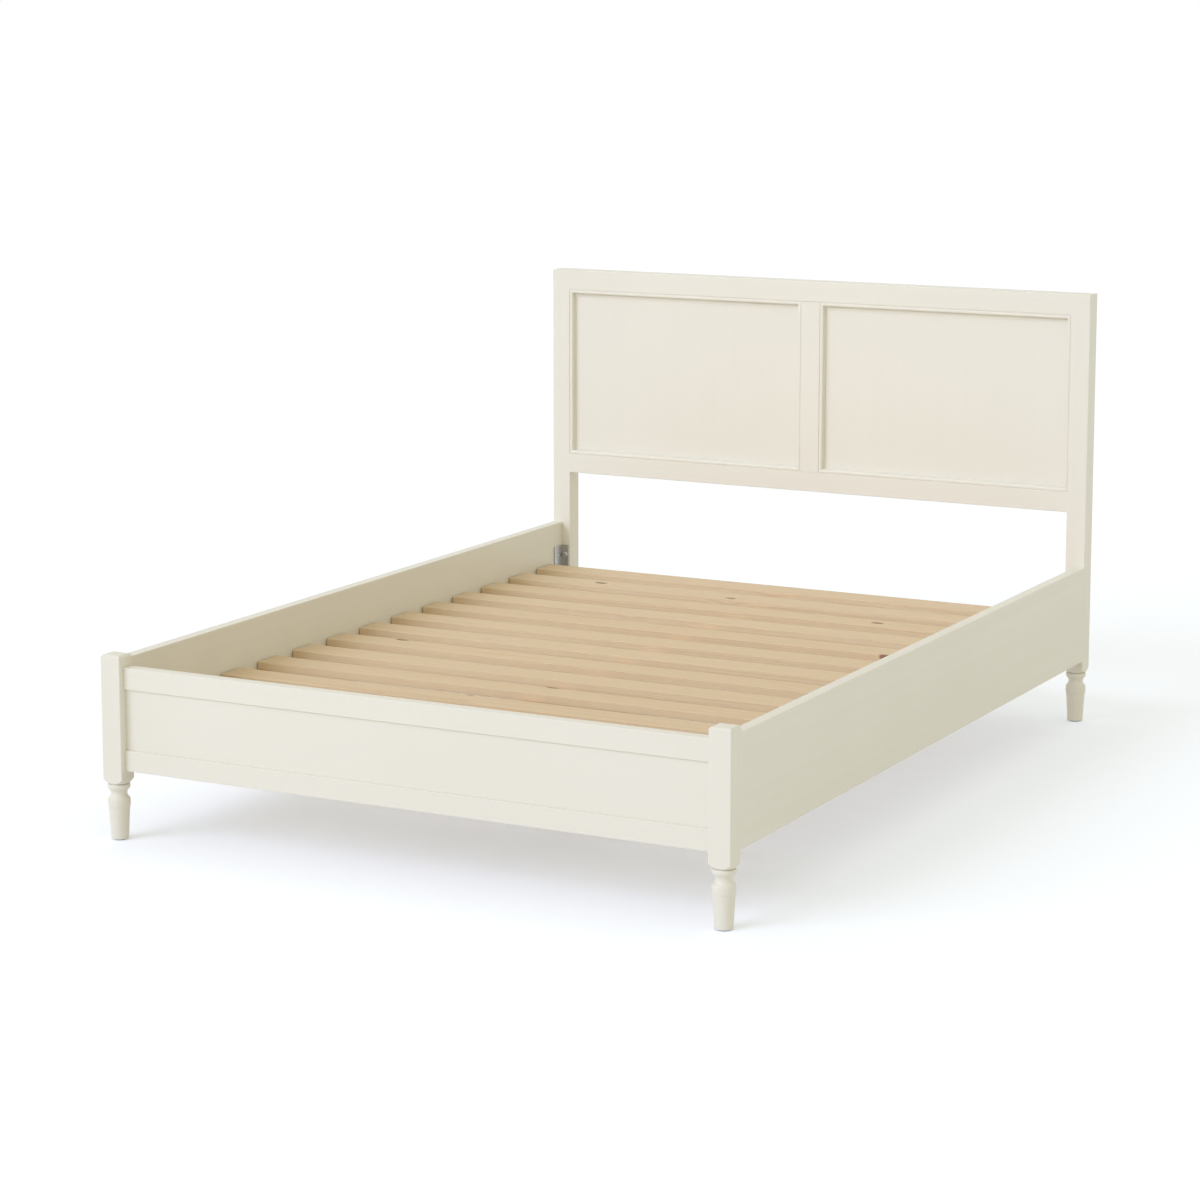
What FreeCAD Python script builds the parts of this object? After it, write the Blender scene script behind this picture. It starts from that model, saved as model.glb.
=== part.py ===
import FreeCAD, Part
import math
import os

import Sketcher
from FreeCAD import Placement, Rotation, Vector

# A painted double bed: panelled headboard, low panelled foot end, side rails, slats and turned feet.
# X runs across the bed, Y from the foot end to the headboard, Z up. The origin is on the floor,
# under the middle of the whole bed.

# Driving sizes, in millimetres
SIZES = {
    "overall_width": 1442,
    "overall_height": 1032,
    "well_length": 1910,
    # posts
    "post_width": 48,
    "foot_post_depth": 45,
    "head_post_depth": 48,
    "foot_post_top": 393,
    "post_arris": 2.5,
    "post_top_chamfer": 4.5,
    # turned feet and glides
    "foot_height": 122,
    "foot_radius": 24,
    "glide_thickness": 2,
    "glide_radius": 14,
    "glide_nail_radius": 1.5,
    "glide_nail_length": 14,
    # side rails
    "side_rail_bottom": 151,
    "side_rail_height": 228,
    "side_rail_thickness": 26,
    "board_arris": 1.5,
    # foot end
    "foot_top_rail_bottom": 321.5,
    "foot_top_rail_height": 46,
    "foot_bottom_rail_bottom": 148.5,
    "foot_bottom_rail_height": 44,
    "foot_rail_thickness": 26,
    "foot_rail_recess": 13.5,
    "foot_panel_recess": 5.5,
    "panel_thickness": 9,
    "panel_tongue": 9,
    "groove_clearance": 1,
    # headboard
    "head_top_rail_height": 50,
    "head_bottom_rail_bottom": 510,
    "head_bottom_rail_height": 48.5,
    "head_lower_rail_height": 100,
    "head_board_thickness": 32,
    "head_panel_recess": 14,
    "muntin_width": 50,
    "moulding_width": 11.5,
    "moulding_bead_radius": 2.1,
    "moulding_bead_drop": 0.4,
    "moulding_step": 1.1,
    "moulding_foot_width": 1,
    "moulding_foot_height": 1.8,
    # slats and their ledgers
    "slat_count": 13,
    "slat_width": 75,
    "slat_thickness": 18,
    "slat_top": 279,
    "slat_arris": 2,
    "slat_end_clearance": 3,
    "ledger_width": 28,
    "ledger_height": 32,
    "ledger_screw_count": 5,
    "ledger_screw_inset": 90,
    # corner brackets
    "bracket_thickness": 3,
    "bracket_post_leg": 18,
    "bracket_rail_leg": 45,
    "bracket_bottom": 180,
    "bracket_height": 140,
    "bracket_hole_inset": 25,
    "bracket_screw_inset": 18,
    # centre beam, its hangers and its leg
    "beam_width": 45,
    "beam_height": 95,
    "beam_end_clearance": 0.5,
    "hanger_thickness": 2.5,
    "hanger_flange": 16,
    "hanger_plate_height": 36,
    "hanger_plate_drop": 10,
    "hanger_seat_depth": 40,
    "hanger_cheek_height": 50,
    "hanger_clearance": 0.2,
    "centre_leg_width": 45,
    "centre_leg_bottom": 30,
    # levelling foot of the centre leg
    "pad_radius": 20,
    "pad_height": 10,
    "pad_rim_height": 4,
    "pad_boss_radius": 9,
    "pad_socket_depth": 6,
    "stud_foot_radius": 5,
    "stud_radius": 4,
    "stud_top": 60,
    "stud_hex_width": 15,
    "stud_hex_height": 6,
    "stud_clearance": 0.3,
    "leveller_travel": 12,
    # dowels, inserts, bolts and screws
    "dowel_radius": 4,
    "dowel_length": 40,
    "dowel_end_clearance": 0.5,
    "dowel_edge": 9,
    "dowel_spacing": 16,
    "lower_rail_dowel_edge": 25,
    "insert_radius": 6,
    "insert_length": 14,
    "insert_end_clearance": 1,
    "hanger_bolt_radius": 4,
    "hanger_bolt_length": 50,
    "bolt_radius": 4,
    "bolt_length": 16,
    "bolt_head_radius": 6.5,
    "bolt_head_height": 5,
    "bolt_socket_width": 5,
    "bolt_socket_depth": 3,
    "screw_radius": 2,
    "wood_screw_length": 40,
    "wood_screw_head_radius": 4,
    "bracket_screw_length": 16,
    "bracket_screw_head_radius": 3.8,
    "bracket_screw_head_height": 2.4,
    "tip_chamfer": 1,
    "bore_clearance": 0.1,
    "overrun": 2,
}

# Places and sizes that follow from the driving sizes
PLACES = {
    "half_width": "size.overall_width / 2",
    "posts_length": "size.foot_post_depth + size.well_length + size.head_post_depth",
    "foot_reach": "max(size.foot_radius - size.foot_post_depth / 2; 0)",
    "foot_front_y": "-(place.posts_length - place.foot_reach) / 2",
    "well_foot_y": "place.foot_front_y + size.foot_post_depth",
    "well_head_y": "place.well_foot_y + size.well_length",
    "post_x": "place.half_width - size.post_width / 2",
    "foot_post_y": "place.foot_front_y + size.foot_post_depth / 2",
    "head_post_y": "place.well_head_y + size.head_post_depth / 2",
    "post_inner_x": "place.half_width - size.post_width",
    "rail_inner_x": "place.half_width - size.side_rail_thickness",
    "span": "2 * place.post_inner_x",
    "foot_rail_front": "place.foot_front_y + size.foot_rail_recess",
    "foot_rail_back": "place.foot_rail_front + size.foot_rail_thickness",
    "foot_rail_middle": "place.foot_rail_front + size.foot_rail_thickness / 2",
    "foot_panel_front": "place.foot_rail_front + size.foot_panel_recess",
    "foot_panel_bottom": "size.foot_bottom_rail_bottom + size.foot_bottom_rail_height",
    "head_rail_middle": "place.well_head_y + size.head_board_thickness / 2",
    "head_panel_front": "place.well_head_y + size.head_panel_recess",
    "head_panel_bottom": "size.head_bottom_rail_bottom + size.head_bottom_rail_height",
    "head_panel_top": "size.overall_height - size.head_top_rail_height",
    "head_panel_inner_x": "size.muntin_width / 2",
    "groove_depth": "size.panel_tongue + size.groove_clearance",
    "turning_height": "size.foot_height - size.glide_thickness",
    "slat_bottom": "size.slat_top - size.slat_thickness",
    "slat_length": "2 * (place.rail_inner_x - size.slat_end_clearance)",
    "slat_gap": "(size.well_length - size.slat_count * size.slat_width) / (size.slat_count + 1)",
    "ledger_bottom": "place.slat_bottom - size.ledger_height",
    "ledger_inner_x": "place.rail_inner_x - size.ledger_width",
    "ledger_middle_x": "place.rail_inner_x - size.ledger_width / 2",
    "ledger_foot_y": "place.well_foot_y + size.bracket_rail_leg + size.slat_end_clearance",
    "ledger_length": "size.well_length - 2 * (size.bracket_rail_leg + size.slat_end_clearance)",
    "beam_bottom": "place.slat_bottom - size.beam_height",
    "beam_foot_y": "place.foot_rail_back + size.hanger_thickness + size.beam_end_clearance",
    "beam_head_y": "place.well_head_y - size.hanger_thickness - size.beam_end_clearance",
    "hanger_inner_x": "size.beam_width / 2 + size.hanger_clearance",
    "hanger_outer_x": "place.hanger_inner_x + size.hanger_thickness",
    "hanger_plate_x": "place.hanger_outer_x + size.hanger_flange",
    "hanger_seat_z": "place.beam_bottom - size.hanger_thickness",
    "hanger_screw_x": "place.hanger_outer_x + size.hanger_flange / 2",
    "hanger_cheek_screw_z": "place.beam_bottom + size.hanger_cheek_height / 2",
    "hanger_cheek_screw_y": "size.hanger_thickness + size.hanger_seat_depth / 2",
    "bracket_middle_x": "place.rail_inner_x - size.bracket_thickness "
                        "- (size.bracket_post_leg - size.bracket_thickness) / 2",
    "bracket_low_z": "size.bracket_bottom + size.bracket_hole_inset",
    "bracket_high_z": "size.bracket_bottom + size.bracket_height - size.bracket_hole_inset",
    "bracket_screw_y": "size.bracket_rail_leg - size.bracket_screw_inset",
    "screw_bore": "size.screw_radius + size.bore_clearance",
    "screw_countersink": "size.wood_screw_head_radius + size.bore_clearance",
    "screw_head_height": "size.wood_screw_head_radius - size.screw_radius",
    "slat_screw_x": "place.ledger_middle_x",
    "stud_hex_bottom": "size.pad_height + size.stud_clearance",
    "bolt_bore": "size.hanger_bolt_radius + size.bore_clearance",
    "bolt_bore_depth": "size.hanger_bolt_length / 2 + size.insert_end_clearance",
}

# Outline of a turned foot from the floor end up. Radii are shares of the foot's largest radius and
# heights are shares of the turned height. A step with four shares is an arc through its middle point.
TURNING_SHARES = (
    (0.729, 0),
    (0.77, 0.0143, 0.756, 0.0045),
    (0.858, 0.35),
    (0.926, 0.553, 0.893, 0.46),
    (0.968, 0.578),
    (0.978, 0.69, 0.988, 0.64),
    (0.938, 0.719, 0.966, 0.708),
    (0.79, 0.753),
    (0.8, 0.862, 0.71, 0.81),
    (0.92, 0.892),
    (0.988, 0.934, 0.974, 0.91),
    (0.978, 0.962, 0.992, 0.95),
    (0.93, 0.975, 0.958, 0.971),
    (0.8, 0.977),
    (0.8, 1),
)

# Hollow face of the panel moulding, between the step under its bead and the lip on the panel, as
# shares of the distances that are left across and down
COVE_MIDDLE_SHARE = (0.28, 0.6)

# Slope of a countersink's wall, in degrees, narrowing with depth
COUNTERSINK_TAPER = -45

# Sides of the bed, as signs of X
LEFT = -1
RIGHT = 1

# Corners of a section: sawn square, or all four eased
SQUARE = (None,) * 4
EASED = ("size.board_arris",) * 4

doc = FreeCAD.newDocument("bed_frame")
size = doc.addObject("Spreadsheet::Sheet", "size")
place = doc.addObject("Spreadsheet::Sheet", "place")
pieces = []


def fill_sheet(sheet, table, prefix):
    """Write one name and one value per row, and give each value its name."""
    for row, (name, entry) in enumerate(table.items(), start=1):
        sheet.set(f"A{row}", name)
        sheet.set(f"B{row}", prefix + str(entry))
        sheet.setAlias(f"B{row}", name)


def number(expression):
    """Value of an expression over the two sheets."""
    return float(size.evalExpression(str(expression)))


def signed(side, expression):
    """The expression on the right side, and its mirror image on the left one."""
    return f"({side}) * ({expression})"


def finish_piece(shape_object, label):
    """Label a finished piece and keep it for export."""
    shape_object.Label = label
    pieces.append(shape_object)
    return shape_object


# Sketches and features

def new_body(label, origin, turn=0):
    """An empty body at a place given by three expressions, turned about the Y axis."""
    body = doc.addObject("PartDesign::Body", label)
    body.Placement = Placement(Vector(*map(number, origin)), Rotation(Vector(0, 1, 0), turn))
    for axis, expression in zip("xyz", origin):
        body.setExpression(f".Placement.Base.{axis}", str(expression))
    return finish_piece(body, label)


def new_sketch(body, plane, level="0"):
    """A sketch on one of the body's own planes, moved along the plane's axis to a level."""
    role = {"x": "YZ_Plane", "y": "XZ_Plane", "z": "XY_Plane"}[plane]
    support = next(feature for feature in body.Origin.OriginFeatures if feature.Role == role)
    sketch = body.newObject("Sketcher::SketchObject", f"{body.Name}_sketch")
    sketch.AttachmentSupport = (support, "")
    sketch.MapMode = "FlatFace"
    facing = -1 if plane == "y" else 1
    sketch.setExpression("AttachmentOffset.Base.z", f"({facing}) * ({level})")
    return sketch


def pin(sketch, geometry, point, across, up):
    """Hold one point of a sketch at two expressions from the origin."""
    for kind, expression in (("DistanceX", across), ("DistanceY", up)):
        held = Sketcher.Constraint(kind, -1, 1, geometry, point, number(expression))
        index = sketch.addConstraint(held)
        sketch.setExpression(f"Constraints[{index}]", str(expression))


def draw_outline(sketch, steps):
    """Closed outline. A step is a point to go to, or such a point and the middle of an arc to it."""
    first = sketch.GeometryCount
    count = len(steps)
    ends = []
    for index in range(count):
        here = steps[index]
        ahead = steps[(index + 1) % count]
        start = Vector(number(here[0]), number(here[1]), 0)
        end = Vector(number(ahead[0]), number(ahead[1]), 0)
        if len(ahead) == 2:
            sketch.addGeometry(Part.LineSegment(start, end), False)
            ends.append((1, 2))
            continue
        middle = Vector(number(ahead[2]), number(ahead[3]), 0)
        if (middle - start).cross(end - start).z > 0:
            sketch.addGeometry(Part.Arc(start, middle, end), False)
            ends.append((1, 2))
        else:
            sketch.addGeometry(Part.Arc(end, middle, start), False)
            ends.append((2, 1))
    for index in range(count):
        follower = (index + 1) % count
        pin(sketch, first + index, ends[index][0], steps[index][0], steps[index][1])
        sketch.addConstraint(Sketcher.Constraint(
            "Coincident", first + index, ends[index][1], first + follower, ends[follower][0]))
    for index in range(count):
        ahead = steps[(index + 1) % count]
        if len(ahead) == 4:
            middle = Vector(number(ahead[2]), number(ahead[3]), 0)
            spot = sketch.addGeometry(Part.Point(middle), True)
            pin(sketch, spot, 1, ahead[2], ahead[3])
            sketch.addConstraint(Sketcher.Constraint("PointOnObject", spot, 1, first + index))


def draw_circle(sketch, across, up, radius):
    """Circle whose centre and radius are expressions."""
    centre = Vector(number(across), number(up), 0)
    index = sketch.addGeometry(Part.Circle(centre, Vector(0, 0, 1), number(radius)), False)
    pin(sketch, index, 3, across, up)
    held = sketch.addConstraint(Sketcher.Constraint("Radius", index, number(radius)))
    sketch.setExpression(f"Constraints[{held}]", str(radius))


def box_steps(low_x, high_x, low_y, high_y, arrises=SQUARE):
    """Outline of a rectangle. An arris rounds a corner: low left, low right, high right, high left."""
    corners = ((low_x, low_y, 1, 1), (high_x, low_y, -1, 1), (high_x, high_y, -1, -1),
               (low_x, high_y, 1, -1))
    inward_share = 1 - math.sqrt(0.5)
    steps = []
    for index, ((x, y, to_x, to_y), arris) in enumerate(zip(corners, arrises)):
        if arris is None:
            steps.append((x, y))
            continue
        beside_x = f"{x} + ({to_x}) * ({arris})"
        beside_y = f"{y} + ({to_y}) * ({arris})"
        middle = (f"{x} + ({to_x * inward_share}) * ({arris})",
                  f"{y} + ({to_y * inward_share}) * ({arris})")
        before, after = (x, beside_y), (beside_x, y)
        if index in (1, 3):
            before, after = after, before
        steps.append(before)
        steps.append(after + middle)
    return steps


def eased_edge_steps(edge, across, up):
    """Outline of what is planed off an upper edge, left (-1) or right (1), to ease it."""
    arris, middle_share = "size.board_arris", 1 - math.sqrt(0.5)
    return [(signed(edge, f"{across} + size.overrun"), f"{up} - {arris}"),
            (signed(edge, across), f"{up} - {arris}"),
            (signed(edge, f"{across} - {arris}"), up,
             signed(edge, f"{across} - {middle_share} * {arris}"),
             f"{up} - {middle_share} * {arris}"),
            (signed(edge, f"{across} - {arris}"), f"{up} + size.overrun"),
            (signed(edge, f"{across} + size.overrun"), f"{up} + size.overrun")]


def extrude(body, sketch, plane, length):
    """Pad the sketch towards the positive end of its plane's axis."""
    pad = body.newObject("PartDesign::Pad", f"{body.Name}_pad")
    pad.Profile = sketch
    pad.Reversed = plane == "y"
    pad.setExpression("Length", str(length))
    sketch.Visibility = False
    return pad


def cut(body, plane, level, towards, depth, outlines=(), circles=()):
    """Pocket from a level of a plane towards the positive (1) or negative (-1) end of its axis."""
    sketch = new_sketch(body, plane, level)
    for steps in outlines:
        draw_outline(sketch, steps)
    for across, up, radius in circles:
        draw_circle(sketch, across, up, radius)
    pocket = body.newObject("PartDesign::Pocket", f"{body.Name}_pocket")
    pocket.Profile = sketch
    pocket.Reversed = (towards > 0) != (plane == "y")
    pocket.setExpression("Length", str(depth))
    sketch.Visibility = False
    return pocket


def turn_about_z(body, kind, steps):
    """Revolve an outline of radii and heights about the body's own Z axis, as solid or as cut."""
    sketch = new_sketch(body, "y")
    draw_outline(sketch, steps)
    feature = body.newObject(f"PartDesign::{kind}", f"{body.Name}_turned")
    feature.Profile = sketch
    feature.ReferenceAxis = (sketch, ["V_Axis"])
    feature.Angle = 360
    sketch.Visibility = False
    return feature


def countersunk_bores(body, plane, level, towards, depth, centres):
    """Screw bores from a level, each with a countersink for a flat head at its mouth."""
    cut(body, plane, level, towards, depth, circles=[(x, y, "place.screw_bore") for x, y in centres])
    sketch = new_sketch(body, plane, level)
    for x, y in centres:
        draw_circle(sketch, x, y, "place.screw_countersink")
    sink = body.newObject("PartDesign::Pocket", f"{body.Name}_countersink")
    sink.Profile = sketch
    sink.Reversed = (towards > 0) != (plane == "y")
    sink.setExpression("Length", "place.screw_head_height")
    sink.TaperAngle = COUNTERSINK_TAPER
    sketch.Visibility = False


# Boards and posts

def board(label, plane, corner, section, length, arrises=SQUARE):
    """Board with a rectangular section, sawn to length along one axis."""
    body = new_body(label, corner)
    sketch = new_sketch(body, plane)
    draw_outline(sketch, box_steps("0", section[0], "0", section[1], arrises))
    extrude(body, sketch, plane, length)
    return body


def post_blank(label, side, centre_y, depth, top, inner_front, outer_front, outer_back, inner_back):
    """Square post on its own axis, its lower end turned down to the round of the foot."""
    body = new_body(label, (signed(side, "place.post_x"), centre_y, "size.foot_height"))
    sketch = new_sketch(body, "z")
    arrises = (inner_front, outer_front, outer_back, inner_back)
    if side == LEFT:
        arrises = (outer_front, inner_front, inner_back, outer_back)
    draw_outline(sketch, box_steps("-size.post_width / 2", "size.post_width / 2",
                                   f"-{depth} / 2", f"{depth} / 2", arrises))
    extrude(body, sketch, "z", f"{top} - size.foot_height")
    far = "size.foot_radius + size.post_width"
    turn_about_z(body, "Groove", [("size.foot_radius", "0"), (far, "0"),
                                  (far, "size.post_width")])
    return body


def inner_face(side):
    """Level of a post's inner face in the post's own frame."""
    return signed(side, "-size.post_width / 2")


def bracket_bores(body, side, face, towards):
    """Two blind bores for the threaded inserts that take a corner bracket's bolts."""
    across = signed(side, "place.bracket_middle_x - place.post_x")
    heights = ("place.bracket_low_z - size.foot_height", "place.bracket_high_z - size.foot_height")
    radius = "size.insert_radius + size.bore_clearance"
    cut(body, "y", face, towards, "size.insert_length + size.insert_end_clearance",
        circles=[(across, height, radius) for height in heights])


def dowel_bores(body, plane, level, towards, centres):
    """Blind bores for half the length of each dowel."""
    cut(body, plane, level, towards, "size.dowel_length / 2 + size.dowel_end_clearance",
        circles=[(x, y, "size.dowel_radius + size.bore_clearance") for x, y in centres])


def foot_bolt_bore(body, towards, level="0"):
    """Bore on the body's own axis for half a hanger bolt."""
    cut(body, "z", level, towards, "place.bolt_bore_depth", circles=[("0", "0", "place.bolt_bore")])


# Heights of the two dowels at each end of a cross rail, above the floor
FOOT_TOP_DOWELS = ("size.foot_top_rail_bottom + size.foot_top_rail_height - size.dowel_edge",
                   "size.foot_top_rail_bottom + size.foot_top_rail_height - size.dowel_edge "
                   "- size.dowel_spacing")
FOOT_BOTTOM_DOWELS = ("size.foot_bottom_rail_bottom + size.dowel_edge",
                      "size.foot_bottom_rail_bottom + size.dowel_edge + size.dowel_spacing")
HEAD_TOP_DOWELS = ("size.overall_height - size.dowel_edge",
                   "size.overall_height - size.dowel_edge - size.dowel_spacing")
HEAD_BOTTOM_DOWELS = ("size.head_bottom_rail_bottom + size.dowel_edge",
                      "size.head_bottom_rail_bottom + size.dowel_edge + size.dowel_spacing")
HEAD_LOWER_DOWELS = ("size.side_rail_bottom + size.lower_rail_dowel_edge",
                     "size.side_rail_bottom + size.head_lower_rail_height "
                     "- size.lower_rail_dowel_edge")


def groove_steps(front, low, high, origin_y, origin_z):
    """Outline of a panel groove in a post, from its front plane and the edges of the opening."""
    return box_steps(f"{front} - ({origin_y})", f"{front} + size.panel_thickness - ({origin_y})",
                     f"{low} - place.groove_depth - ({origin_z})",
                     f"{high} + place.groove_depth - ({origin_z})")


def foot_post(label, side):
    """Short post of the foot end, with an eased top."""
    arris = "size.post_arris"
    body = post_blank(label, side, "place.foot_post_y", "size.foot_post_depth",
                      "size.foot_post_top", arris, arris, None, arris)
    top = "(size.foot_post_top - size.foot_height)"
    for plane, across, along in (("y", "size.post_width", "size.foot_post_depth"),
                                 ("x", "size.foot_post_depth", "size.post_width")):
        slopes = []
        for edge in (LEFT, RIGHT):
            inner = signed(edge, f"{across} / 2 - size.post_top_chamfer")
            outer = signed(edge, f"{across} / 2 + size.overrun")
            slopes.append([(inner, top), (inner, f"{top} + size.overrun"),
                           (outer, f"{top} + size.overrun"),
                           (outer, f"{top} - size.post_top_chamfer - size.overrun")])
        cut(body, plane, f"-{along} / 2 - size.overrun", 1, f"{along} + 2 * size.overrun",
            outlines=slopes)
    cut(body, "x", inner_face(side), side, "place.groove_depth",
        outlines=[groove_steps("place.foot_panel_front", "place.foot_panel_bottom",
                               "size.foot_top_rail_bottom", "place.foot_post_y",
                               "size.foot_height")])
    heights = FOOT_TOP_DOWELS + FOOT_BOTTOM_DOWELS
    dowel_bores(body, "x", inner_face(side), side,
                [("place.foot_rail_middle - place.foot_post_y", f"{height} - size.foot_height")
                 for height in heights])
    bracket_bores(body, side, "size.foot_post_depth / 2", -1)
    foot_bolt_bore(body, 1)


def headboard_post(label, side):
    """Tall post of the headboard, square where the rails meet it flush and eased elsewhere."""
    arris = "size.post_arris"
    body = post_blank(label, side, "place.head_post_y", "size.head_post_depth",
                      "size.overall_height", None, arris, arris, None)
    top = "(size.overall_height - size.foot_height)"
    half_depth, half_width = "(size.head_post_depth / 2)", "(size.post_width / 2)"
    cut(body, "x", f"-{half_width} - size.overrun", 1, "size.post_width + 2 * size.overrun",
        outlines=[eased_edge_steps(edge, half_depth, top) for edge in (-1, 1)])
    cut(body, "y", f"-{half_depth} - size.overrun", 1, "size.head_post_depth + 2 * size.overrun",
        outlines=[eased_edge_steps(side, half_width, top)])
    cut(body, "x", inner_face(side), side, "place.groove_depth",
        outlines=[groove_steps("place.head_panel_front", "place.head_panel_bottom",
                               "place.head_panel_top", "place.head_post_y", "size.foot_height")])
    heights = HEAD_TOP_DOWELS + HEAD_BOTTOM_DOWELS + HEAD_LOWER_DOWELS
    dowel_bores(body, "x", inner_face(side), side,
                [("place.head_rail_middle - place.head_post_y", f"{height} - size.foot_height")
                 for height in heights])
    bracket_bores(body, side, "-size.head_post_depth / 2", 1)
    foot_bolt_bore(body, 1)


def cross_rail(label, front, bottom, thickness, height, dowels, middle, groove=None):
    """Rail between two posts, dowelled at both ends. A groove is a front plane and an edge sign."""
    body = board(label, "x", ("-place.post_inner_x", front, bottom), (thickness, height),
                 "place.span", EASED)
    for level, towards in (("0", 1), ("place.span", -1)):
        dowel_bores(body, "x", level, towards,
                    [(f"{middle} - ({front})", f"{mark} - ({bottom})") for mark in dowels])
    if groove:
        panel_front, edge = groove
        level = height if edge > 0 else "0"
        cut(body, "z", level, -edge, "place.groove_depth",
            outlines=[box_steps("0", "place.span", f"{panel_front} - ({front})",
                                f"{panel_front} + size.panel_thickness - ({front})")])
    return body


def foot_rails():
    """The two rails that hold the foot panel."""
    cross_rail("foot_top_rail", "place.foot_rail_front", "size.foot_top_rail_bottom",
               "size.foot_rail_thickness", "size.foot_top_rail_height", FOOT_TOP_DOWELS,
               "place.foot_rail_middle", groove=("place.foot_panel_front", -1))
    rail = cross_rail("foot_bottom_rail", "place.foot_rail_front", "size.foot_bottom_rail_bottom",
                      "size.foot_rail_thickness", "size.foot_bottom_rail_height",
                      FOOT_BOTTOM_DOWELS, "place.foot_rail_middle",
                      groove=("place.foot_panel_front", 1))
    hanger_pilot_bores(rail, "size.foot_rail_thickness", -1, "size.foot_bottom_rail_bottom")


def headboard_rails():
    """Top rail as deep as the posts, thinner bottom rail, and the hidden rail behind the slats."""
    cross_rail("headboard_top_rail", "place.well_head_y", "place.head_panel_top",
               "size.head_post_depth", "size.head_top_rail_height", HEAD_TOP_DOWELS,
               "place.head_rail_middle", groove=("place.head_panel_front", -1))
    cross_rail("headboard_bottom_rail", "place.well_head_y", "size.head_bottom_rail_bottom",
               "size.head_board_thickness", "size.head_bottom_rail_height", HEAD_BOTTOM_DOWELS,
               "place.head_rail_middle", groove=("place.head_panel_front", 1))
    rail = cross_rail("headboard_lower_rail", "place.well_head_y", "size.side_rail_bottom",
                      "size.head_board_thickness", "size.head_lower_rail_height",
                      HEAD_LOWER_DOWELS, "place.head_rail_middle")
    hanger_pilot_bores(rail, "0", 1, "size.side_rail_bottom")


def hanger_screw_heights():
    """Heights of the two screws in each flange of a beam hanger, above the floor."""
    low = "place.hanger_seat_z - size.hanger_plate_drop"
    return (f"{low} + size.hanger_plate_height / 4", f"{low} + 3 * size.hanger_plate_height / 4")


def hanger_pilot_bores(rail, face, towards, rail_bottom):
    """Pilot bores in a cross rail for the four screws of a beam hanger."""
    centres = []
    for side in (LEFT, RIGHT):
        for height in hanger_screw_heights():
            centres.append((f"place.post_inner_x + {signed(side, 'place.hanger_screw_x')}",
                            f"{height} - {rail_bottom}", "place.screw_bore"))
    cut(rail, "y", face, towards, "size.bracket_screw_length", circles=centres)


def headboard_muntin():
    """Upright between the two panels, with a stub tongue at each end in the rails' grooves."""
    height = "(place.head_panel_top - place.head_panel_bottom)"
    body = new_body("headboard_muntin", ("-size.muntin_width / 2", "place.well_head_y",
                                         "place.head_panel_bottom"))
    sketch = new_sketch(body, "z", "-size.panel_tongue")
    draw_outline(sketch, box_steps("0", "size.muntin_width", "0", "size.head_board_thickness"))
    extrude(body, sketch, "z", f"{height} + 2 * size.panel_tongue")
    back = "size.head_panel_recess + size.panel_thickness"
    shoulders = []
    for low, high in (("-size.overrun", "size.head_panel_recess"),
                      (back, "size.head_board_thickness + size.overrun")):
        shoulders.append(box_steps(low, high, "-size.panel_tongue - size.overrun", "0"))
        shoulders.append(box_steps(low, high, height,
                                   f"{height} + size.panel_tongue + size.overrun"))
    cut(body, "x", "-size.overrun", 1, "size.muntin_width + 2 * size.overrun",
        outlines=shoulders)
    for level, towards in (("0", 1), ("size.muntin_width", -1)):
        cut(body, "x", level, towards, "place.groove_depth",
            outlines=[box_steps("size.head_panel_recess", back,
                                "-size.panel_tongue - size.overrun",
                                f"{height} + size.panel_tongue + size.overrun")])


def panels():
    """Flat panels held in the grooves: one at the foot end and two in the headboard."""
    board("foot_panel", "y",
          ("-place.post_inner_x - size.panel_tongue", "place.foot_panel_front",
           "place.foot_panel_bottom - size.panel_tongue"),
          ("place.span + 2 * size.panel_tongue",
           "size.foot_top_rail_bottom - place.foot_panel_bottom + 2 * size.panel_tongue"),
          "size.panel_thickness")
    width = "(place.post_inner_x - place.head_panel_inner_x + 2 * size.panel_tongue)"
    height = "(place.head_panel_top - place.head_panel_bottom + 2 * size.panel_tongue)"
    for name, low in (("left", "-place.post_inner_x - size.panel_tongue"),
                      ("right", "place.head_panel_inner_x - size.panel_tongue")):
        board(f"headboard_panel_{name}", "y",
              (low, "place.head_panel_front", "place.head_panel_bottom - size.panel_tongue"),
              (width, height), "size.panel_thickness")


def moulding_section():
    """Section of the panel moulding: depth behind the frame's face, and width as a drop."""
    bead = "size.moulding_bead_radius"
    rim = f"size.moulding_bead_drop + {bead}"
    floor = "size.head_panel_recess"
    lip_top = f"{floor} - size.moulding_foot_height"
    step = f"{rim} + size.moulding_step"
    lip = "(size.moulding_width - size.moulding_foot_width)"
    across, down = COVE_MIDDLE_SHARE
    cove_middle = (f"{step} + ({down}) * ({lip_top} - ({step}))",
                   f"-2 * {bead} - ({across}) * ({lip} - 2 * {bead})")
    return [(floor, "0"), (rim, "0"),
            (rim, f"-2 * {bead}", "size.moulding_bead_drop", f"-{bead}"),
            (step, f"-2 * {bead}"),
            (lip_top, f"-{lip}") + cove_middle,
            (lip_top, "-size.moulding_width"),
            (floor, "-size.moulding_width")]


def moulding(label, corner, turn, length):
    """One mitred length of moulding, running from a corner of the opening."""
    body = new_body(label, corner, turn)
    sketch = new_sketch(body, "x")
    draw_outline(sketch, moulding_section())
    extrude(body, sketch, "x", length)
    deep = "(size.moulding_width + size.overrun)"
    mitres = [[("0", "0"), ("-size.overrun", "0"), ("-size.overrun", f"-{deep}"),
               (deep, f"-{deep}")],
              [(length, "0"), (f"{length} + size.overrun", "0"),
               (f"{length} + size.overrun", f"-{deep}"), (f"{length} - {deep}", f"-{deep}")]]
    cut(body, "y", "-size.overrun", 1, "size.head_panel_recess + 2 * size.overrun",
        outlines=mitres)


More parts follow.
